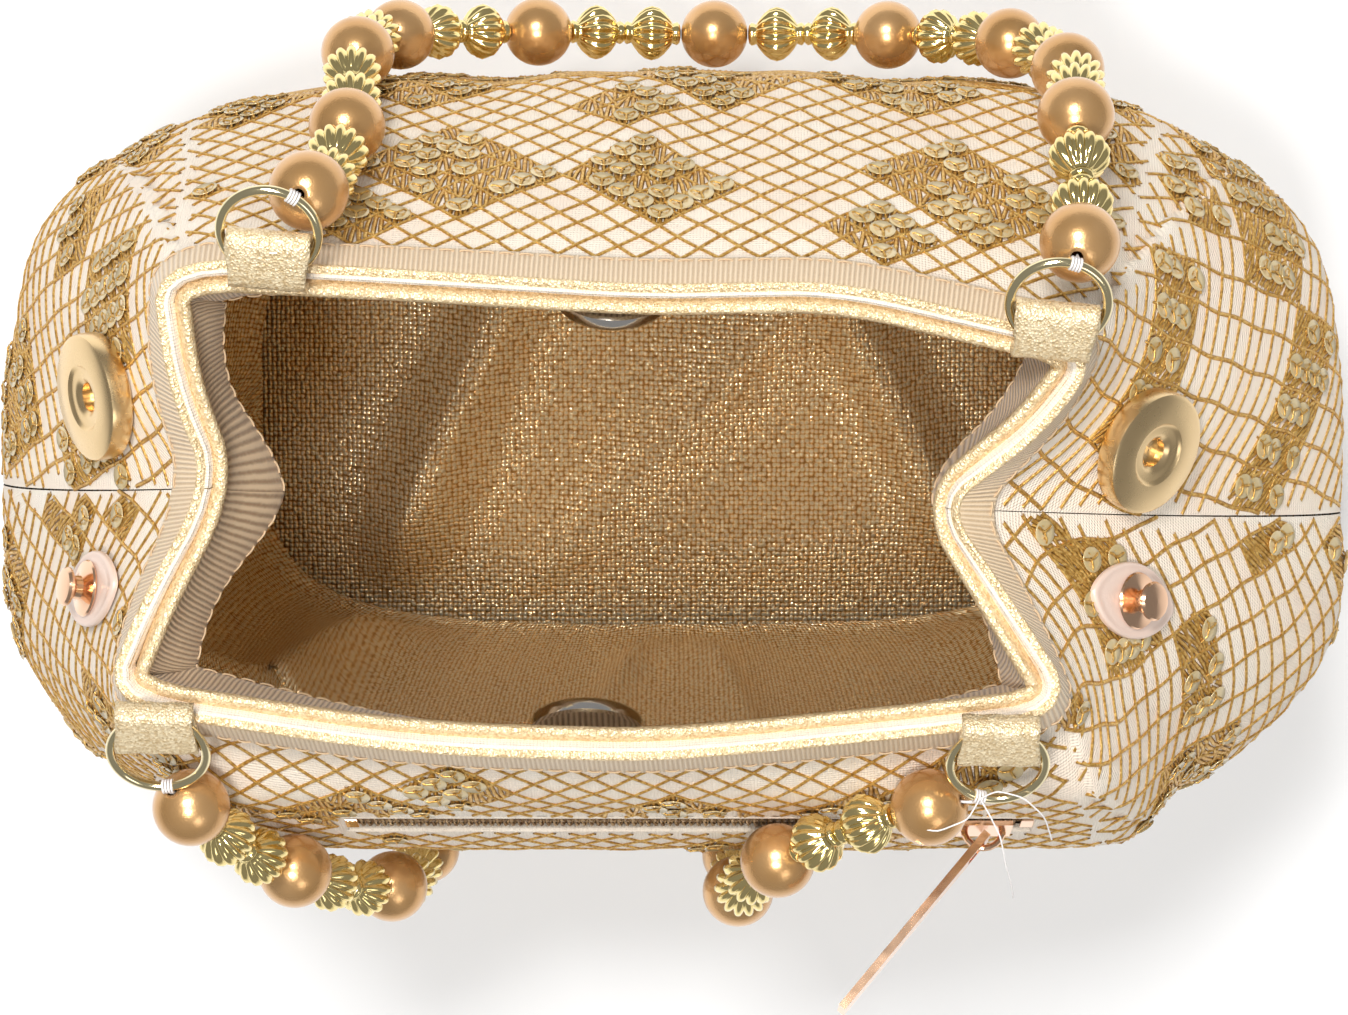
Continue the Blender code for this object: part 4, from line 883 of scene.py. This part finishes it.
def make_loop(name, root, axis, reach, lift, body):
    """Soft sleeve of glitter cloth round the ring, with its ends tucked into the rim."""
    inner = RING_WIRE / 2 + 0.25 * MM
    outer = inner + 0.55 * MM
    path = [(-2.1 * MM, -1.7 * MM), (-1.8 * MM, -0.6 * MM)]
    path += [(math.cos(a) * outer - 0.4 * MM, math.sin(a) * outer) for a in np.linspace(2.6, 1.6, 4)]
    path += [(LOOP_REACH * s, outer + 0.1 * MM * math.sin(math.pi * s)) for s in (0.3, 0.6, 0.85)]
    path += [(LOOP_REACH + math.cos(a) * outer, math.sin(a) * outer)
             for a in np.linspace(math.pi / 2, -math.pi / 2, 10)]
    path += [(LOOP_REACH * s, -outer) for s in (0.75, 0.5, 0.25)]
    path += [(-0.4 * MM, -outer)]
    rows = []
    sides = np.linspace(-1, 1, 15)
    for along, up in path:
        row = []
        for side in sides:
            puff = 0.12 * MM * math.sin(side * 9.0 + along * 1500)
            pinch = 1.0 - 0.05 * math.cos(math.pi * along / LOOP_REACH)
            row.append(root + axis * side * LOOP_WIDTH / 2 * pinch + reach * along
                       + lift * (up + (puff if up > 0 else -puff)))
        rows.append(row)
    rows = np.array(rows)
    piece = grid_object("sleeve_" + name, rows)
    thick = piece.modifiers.new("cloth", "SOLIDIFY")
    thick.thickness = 0.55 * MM
    thick.offset = -1.0
    dress(piece, LOOP_CLOTH, body, ["loop_" + name])


def make_ring(name, center, normal, start, body):
    mean = (RING_OUTER_DIAMETER - RING_WIRE) / 2
    side = np.cross(normal, start)
    angle = 2 * math.pi * np.arange(72) / 72
    radial = start[None] * np.cos(angle)[:, None] + side[None] * np.sin(angle)[:, None]
    around = 2 * math.pi * np.arange(14) / 14
    rows = center + radial[:, None] * (mean + np.cos(around) * RING_WIRE / 2)[None, :, None]
    rows = rows + normal * (np.sin(around) * RING_WIRE / 2)[None, :, None]
    piece = grid_object("wire_" + name, rows, closed_rows=True, closed_columns=True)
    dress(piece, PALE, body, ["ring_" + name])


def lantern_rows(start, end):
    """Fluted lantern bead between two points, with a collar at each end."""
    length = np.linalg.norm(end - start)
    shape = [(0.00, 0.9), (0.02, 1.75), (0.06, 2.05), (0.11, 1.9), (0.14, 1.75), (0.19, 2.6), (0.28, 3.7),
             (0.38, 4.5), (0.5, 4.85)]
    shape += [(1.0 - share, radius) for share, radius in reversed(shape[:-1])]
    profile = [(radius * MM, share * length) for share, radius in shape]
    depth = [0, 0, 0.03, 0.03, 0, 0.14, 0.2, 0.22, 0.22, 0.22, 0.2, 0.14, 0, 0.03, 0.03, 0, 0]

    def ripple(index, angle):
        return 1.0 - depth[index] * (1.0 - np.abs(np.sin(7 * angle)) ** 0.7)

    return turned_rows(profile, start, end - start, 84, ripple)


def pearl_rows(center, axis):
    radius = PEARL_DIAMETER / 2
    bore = 0.95 * MM
    first = math.asin(bore / radius)
    profile = [(bore * 0.9, -radius * math.cos(first) + 1.2 * MM),
               (bore * 0.95, -radius * math.cos(first) + 0.15 * MM)]
    profile += [(radius * math.sin(a), -radius * math.cos(a))
                for a in np.linspace(first, math.pi - first, 26)]
    profile += [(bore * 0.95, radius * math.cos(first) - 0.15 * MM),
                (bore * 0.9, radius * math.cos(first) - 1.2 * MM)]
    return turned_rows(profile, center, axis, 40)


def make_handle(side, handle):
    body = "handle_" + side
    roots, axis, reach, lift = handle_frames(handle)
    mean = (RING_OUTER_DIAMETER - RING_WIRE) / 2
    centers = []
    for name, root in zip(("left", "right"), roots):
        make_loop("%s_%s" % (side, name), root, axis, reach, lift, body)
        centers.append(root + reach * mean)
        make_ring("%s_%s" % (side, name), centers[-1], lift, -reach, body)
    names = ["pearl_%s_%02d" % (side, index + 1) for index in range(PEARLS)]
    pearls = np.array([node_center(name) for name in names])
    ties = []
    for center, pearl in ((centers[0], pearls[0]), (centers[1], pearls[-1])):
        offset = pearl - center
        offset -= lift * offset.dot(lift)
        radial = unit(unit(offset) + reach * 1.2)
        ties.append((center + radial * mean, radial))
    tangents = unit(np.gradient(pearls, axis=0))
    tangents[0] = unit(pearls[0] - ties[0][0])
    tangents[-1] = unit(ties[1][0] - pearls[-1])
    balls = Pile()
    lanterns = Pile()
    thread = Pile()
    reach_along = PEARL_DIAMETER / 2 + 0.1 * MM
    for index in range(PEARLS):
        balls.add_grid(pearl_rows(pearls[index], tangents[index]))
        if index + 1 == PEARLS:
            break
        start = pearls[index] + tangents[index] * reach_along
        end = pearls[index + 1] - tangents[index + 1] * reach_along
        bow = (tangents[index] - tangents[index + 1]) * (np.linalg.norm(end - start) / 8)
        middle = (start + end) / 2 + bow
        lanterns.add_grid(lantern_rows(start, middle))
        lanterns.add_grid(lantern_rows(middle, end))
    for (wire, radial), pearl, tangent, sign in ((ties[0], pearls[0], tangents[0], 1),
                                                 (ties[1], pearls[-1], tangents[-1], -1)):
        for turn in range(4):
            slide = np.cross(radial, lift) * (turn - 1.5) * 0.45 * MM
            angle = np.linspace(0, 2 * math.pi, 15)
            loop = [wire + slide + (radial * math.cos(a) + lift * math.sin(a))
                    * (RING_WIRE / 2 + 0.2 * MM) for a in angle]
            thread.add_grid(round_tube(loop, 0.2 * MM, 6))
        mouth = pearl - tangent * sign * (PEARL_DIAMETER / 2 - 0.8 * MM)
        for spread_out in (-0.3, 0.3):
            start = wire + radial * (RING_WIRE / 2 + 0.2 * MM) + np.cross(radial, lift) * spread_out * MM
            run = [start + (mouth - start) * s + lift * 0.25 * MM * math.sin(math.pi * s)
                   for s in np.linspace(0, 1, 6)]
            thread.add_grid(round_tube(run, 0.22 * MM, 6))
    if side == "front":
        loose_ends(thread, ties[1][0])
    dress(balls.make("pearls_" + side), PEARL, body, names)
    dress(lanterns.make("lanterns_" + side), BRIGHT, body, ["strand_" + side])
    dress(thread.make("ties_" + side), NYLON, body)


def loose_ends(pile, start):
    """Thread ends left long at the knot of the front right ring."""
    ends = [
        [(0, 0, 1.2), (1.5, -2.5, 2.2), (3.2, -6.0, 2.0), (4.0, -10.0, 0.5), (5.2, -14.0, -2.5),
         (6.0, -17.5, -6.0)],
        [(0, 0, 1.2), (2.5, 1.5, 2.4), (6.5, 0.5, 2.6), (10.0, -3.0, 0.8), (11.5, -7.5, -3.0)],
        [(0, 0, 1.2), (-2.0, -3.0, 2.6), (-6.5, -5.0, 2.0), (-10.5, -4.6, 0.5)],
    ]
    for points in ends:
        points = np.array(points) * MM + start
        steps = np.linspace(0, len(points) - 1, len(points) * 4)
        smooth = np.stack([np.interp(steps, np.arange(len(points)), points[:, axis])
                           for axis in range(3)], -1)
        smooth[1:-1] = (smooth[:-2] + smooth[1:-1] * 2 + smooth[2:]) / 4
        pile.add_grid(round_tube(smooth, 0.14 * MM, 5))


# Snaps

def facing_axis(name, toward):
    """Base point and axis of a flat round node, turned toward a direction, and its long direction."""
    points = np.array([vertex.co for vertex in NODES[name].data.vertices])
    center = points.mean(axis=0)
    directions = np.linalg.eigh(np.cov((points - center).T))[1]
    axis = directions[:, 0]
    if axis.dot(toward) < 0:
        axis = -axis
    heights = (points - center) @ axis
    return center + axis * heights.min(), axis, directions[:, 2]


def lathe(name, node, profile, toward, finish):
    base, axis, _ = facing_axis(node, toward)
    rows = turned_rows([(radius * MM, height * MM) for radius, height in profile], base, axis, LATHE_SIDES)
    piece = grid_object(name, rows, closed_columns=True)
    piece.data.set_sharp_from_angle(angle=math.radians(35))
    dress(piece, finish, "bag", [node])


def make_snaps():
    cup = [(0.01, 0.3), (8.6, 0.1), (9.0, 0.5), (9.0, 1.9), (8.7, 2.5), (8.2, 2.8), (7.3, 2.6)]
    hollow = [(7.0, 2.3), (5.4, 2.3), (4.6, 2.9), (3.7, 3.0), (3.3, 2.8), (3.1, 1.6), (0.01, 1.5)]
    peg = [(7.0, 2.4), (3.6, 2.5), (3.1, 2.8), (2.9, 3.8), (2.4, 4.4), (1.2, 4.6), (0.01, 4.6)]
    lathe("magnet_back", "snap_center_back", cup + hollow, (0, -1, 0), NICKEL)
    lathe("magnet_front", "snap_center_front", cup + peg, (0, 1, 0), NICKEL)
    for side, sign in (("left", -1), ("right", 1)):
        lathe("socket_" + side, "snap_socket_" + side,
              [(0.01, 0.1), (9.4, 0.0), (9.9, 0.4), (10.0, 1.0), (10.0, 3.0), (9.8, 3.6), (9.2, 3.95),
               (5.2, 4.0), (4.8, 3.6), (4.4, 3.5), (3.4, 3.6), (2.9, 3.4), (2.3, 2.9), (2.2, 1.7),
               (0.01, 1.6)],
              (sign, 0, 0.4), SATIN)
        lathe("stud_" + side, "snap_stud_" + side,
              [(0.01, 0.0), (4.3, 0.0), (4.5, 0.25), (4.3, 0.55), (2.6, 0.9), (1.9, 1.25), (1.8, 2.3),
               (2.4, 2.75), (3.0, 3.1), (3.1, 3.5), (2.8, 3.95), (2.0, 4.15), (0.01, 4.2)],
              (sign, 0, 0.4), ROSE)
        make_petal(side, sign)


def make_petal(side, sign):
    """Pointed oval patch, slightly domed, with a pressed line inside its edge."""
    base, axis, along = facing_axis("snap_petal_" + side, (sign, 0, 0.4))
    across = np.cross(axis, along)
    rows = []
    for share, height in ((1.0, 0.05), (1.0, 0.6), (0.97, 0.95), (0.9, 1.05), (0.84, 0.85), (0.78, 1.05),
                          (0.5, 1.1), (0.2, 1.1), (0.01, 1.1)):
        turn = 2 * math.pi * np.arange(64) / 64
        length = 10.0 * np.cos(turn) * share
        wide = 6.0 * np.sin(turn) * np.abs(np.sin(turn)) ** 0.35 * share
        rows.append(base + (along * length[:, None] + across * wide[:, None]) * MM + axis * height * MM)
    rows = np.array(rows)
    piece = grid_object("petal_" + side, rows, closed_columns=True)
    dress(piece, PATCH, "bag", ["snap_petal_" + side])


# Zip

def make_zip():
    tape_back = -2.15 * MM
    for name, side in (("upper", 1), ("lower", -1)):
        dress_node("zip_tape_" + name, ZIP_TAPE)
        pile = Pile()
        level = tape_back + 1.35 * MM
        angle = np.linspace(0, 2 * math.pi * COIL_TURNS, COIL_TURNS * 8 + 1)
        along = np.linspace(-ZIP_LENGTH / 2 + 2.8 * MM, ZIP_LENGTH / 2 - 2.8 * MM, len(angle))
        center = ZIP_CENTER + ZIP_UP * side * 1.5 * MM + ZIP_OUT * level
        run = center + np.outer(along, (1, 0, 0)) + np.outer(np.cos(angle) * 0.62 * MM, ZIP_UP)
        run += np.outer(np.sin(angle) * 0.55 * MM, ZIP_OUT)
        pile.add_grid(round_tube(run, 0.25 * MM, 5))
        dress(pile.make("coil_" + name), COIL, "bag", ["zip_coil_" + name])
        cord = Pile()
        for height in (2.75, 3.7):
            line = ZIP_CENTER + ZIP_UP * side * height * MM + ZIP_OUT * (tape_back + 0.45 * MM)
            line = line + np.outer(np.linspace(-1, 1, 160) * (ZIP_LENGTH / 2 - 0.3 * MM), (1, 0, 0))
            bumpy = 1.0 + 0.25 * np.sin(np.arange(160) * math.pi / 2)
            rows = tube(line, np.tile(ZIP_OUT, (160, 1)), 0.34 * MM, 0.3 * MM, 6)
            rows = line[:, None] + (rows - line[:, None]) * bumpy[:, None, None]
            cord.add_grid(rows)
        dress(cord.make("tape_cord_" + name), COIL, "bag")
    for name in ("zip_stop_left", "zip_stop_right", "zip_slider", "zip_puller"):
        dress_node(name, ROSE)
        edge = NODES[name].modifiers.new("rounded", "BEVEL")
        edge.width = 0.22 * MM
        edge.segments = 2
        edge.limit_method = "ANGLE"
    dress_node("pocket_bag", POCKET)
    make_slot_lip()


def dress_node(name, finish):
    NODES[name].data.materials.clear()
    NODES[name].data.materials.append(finish)


def make_slot_lip():
    """Folded edge of the brocade round the zip's opening."""
    half_x = ZIP_LENGTH / 2
    half_up = ZIP_SLOT_HEIGHT / 2
    outline = [(x, half_up) for x in np.linspace(-half_x, half_x, 90)]
    outline += [(half_x, up) for up in np.linspace(half_up, -half_up, 9)[1:]]
    outline += [(x, -half_up) for x in np.linspace(half_x, -half_x, 90)[1:]]
    outline += [(-half_x, up) for up in np.linspace(-half_up, half_up, 9)[1:-1]]
    outline = np.array(outline)
    line = ZIP_CENTER + np.outer(outline[:, 0], (1, 0, 0)) + np.outer(outline[:, 1], ZIP_UP)
    line -= ZIP_OUT * 0.55 * MM
    line = np.concatenate((line, line[:1]))
    rows = tube(line, np.tile(ZIP_OUT, (len(line), 1)), 0.62 * MM, 0.75 * MM, 10)
    along = distance_along(line) / MM
    uvs = np.stack(np.meshgrid(np.arange(10) * 0.4, along), -1)
    piece = grid_object("slot_lip", rows, uvs, closed_columns=True)
    dress(piece, BROCADE, "bag")


# Stage, lamps and camera

def make_stage():
    floor, tree, shader = new_material("floor", (0.90, 0.90, 0.90), 0.85)
    made = mesh_object("floor_sheet", [(-3, -3, 0), (3, -3, 0), (3, 3, 0), (-3, 3, 0)], [(0, 1, 2, 3)],
                       smooth=False)
    made.location.z = -0.0004
    made.data.materials.append(floor)
    path = add_node(tree, "ShaderNodeLightPath")
    seen = add_node(tree, "ShaderNodeMath", operation="MAXIMUM")
    tree.links.new(path.outputs["Is Camera Ray"], seen.inputs[0])
    tree.links.new(path.outputs["Is Glossy Ray"], seen.inputs[1])
    glow = math_node(tree, "MULTIPLY", seen.outputs["Value"], 0.07)
    shader.inputs["Emission Color"].default_value = (1.0, 1.0, 1.0, 1.0)
    tree.links.new(glow, shader.inputs["Emission Strength"])


def area_lamp(name, place, target, size, power):
    lamp = bpy.data.lights.new(name, "AREA")
    lamp.shape = "RECTANGLE"
    lamp.size, lamp.size_y = size
    lamp.energy = power
    made = bpy.data.objects.new(name, lamp)
    made.location = place
    made.rotation_euler = (Vector(target) - Vector(place)).to_track_quat("-Z", "Y").to_euler()
    bpy.context.scene.collection.objects.link(made)


def make_lights():
    world = bpy.data.worlds.new("studio")
    world.use_nodes = True
    tree = world.node_tree
    back = tree.nodes["Background"]
    back.inputs["Color"].default_value = (1.0, 1.0, 1.0, 1.0)
    path = add_node(tree, "ShaderNodeLightPath")
    strength = math_node(tree, "ADD", math_node(tree, "MULTIPLY", path.outputs["Is Camera Ray"], 0.74), 0.26)
    tree.links.new(strength, back.inputs["Strength"])
    bpy.context.scene.world = world
    area_lamp("key", (-0.16, 0.50, 1.20), (0, 0, 0.1), (0.30, 0.26), 11.0)
    area_lamp("front", (0.40, -0.60, 1.00), (0, 0, 0.1), (0.4, 0.4), 1.2)
    area_lamp("inside", (-0.10, -0.04, 1.15), (0, 0, 0.0), (0.16, 0.16), 6.0)


def make_camera():
    camera = bpy.data.cameras.new("camera")
    camera.lens = 99.75
    camera.sensor_width = 36.0
    made = bpy.data.objects.new("camera", camera)
    made.location = (0.0, 0.0936, 0.7181)
    made.rotation_euler = (math.radians(-9.0), 0.0, 0.0)
    bpy.context.scene.collection.objects.link(made)
    bpy.context.scene.camera = made


def main():
    make_camera()
    make_lights()
    make_stage()
    panels = {"back_panel": Panel("back", LEFT_SEAM - 0.08, RIGHT_SEAM + 0.08),
              "front_panel": Panel("front", RIGHT_SEAM - 0.08, LEFT_SEAM - 360.0 + 0.08)}
    for node, panel in panels.items():
        make_panel(panel, node)
        make_net(panel, node)
        make_patches(panel, node)
    make_base()
    make_rim()
    make_lining()
    for side, handle in HANDLES.items():
        make_handle(side, handle)
    make_snaps()
    make_zip()
    bpy.context.scene.view_settings.view_transform = "Standard"
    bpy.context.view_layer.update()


main()
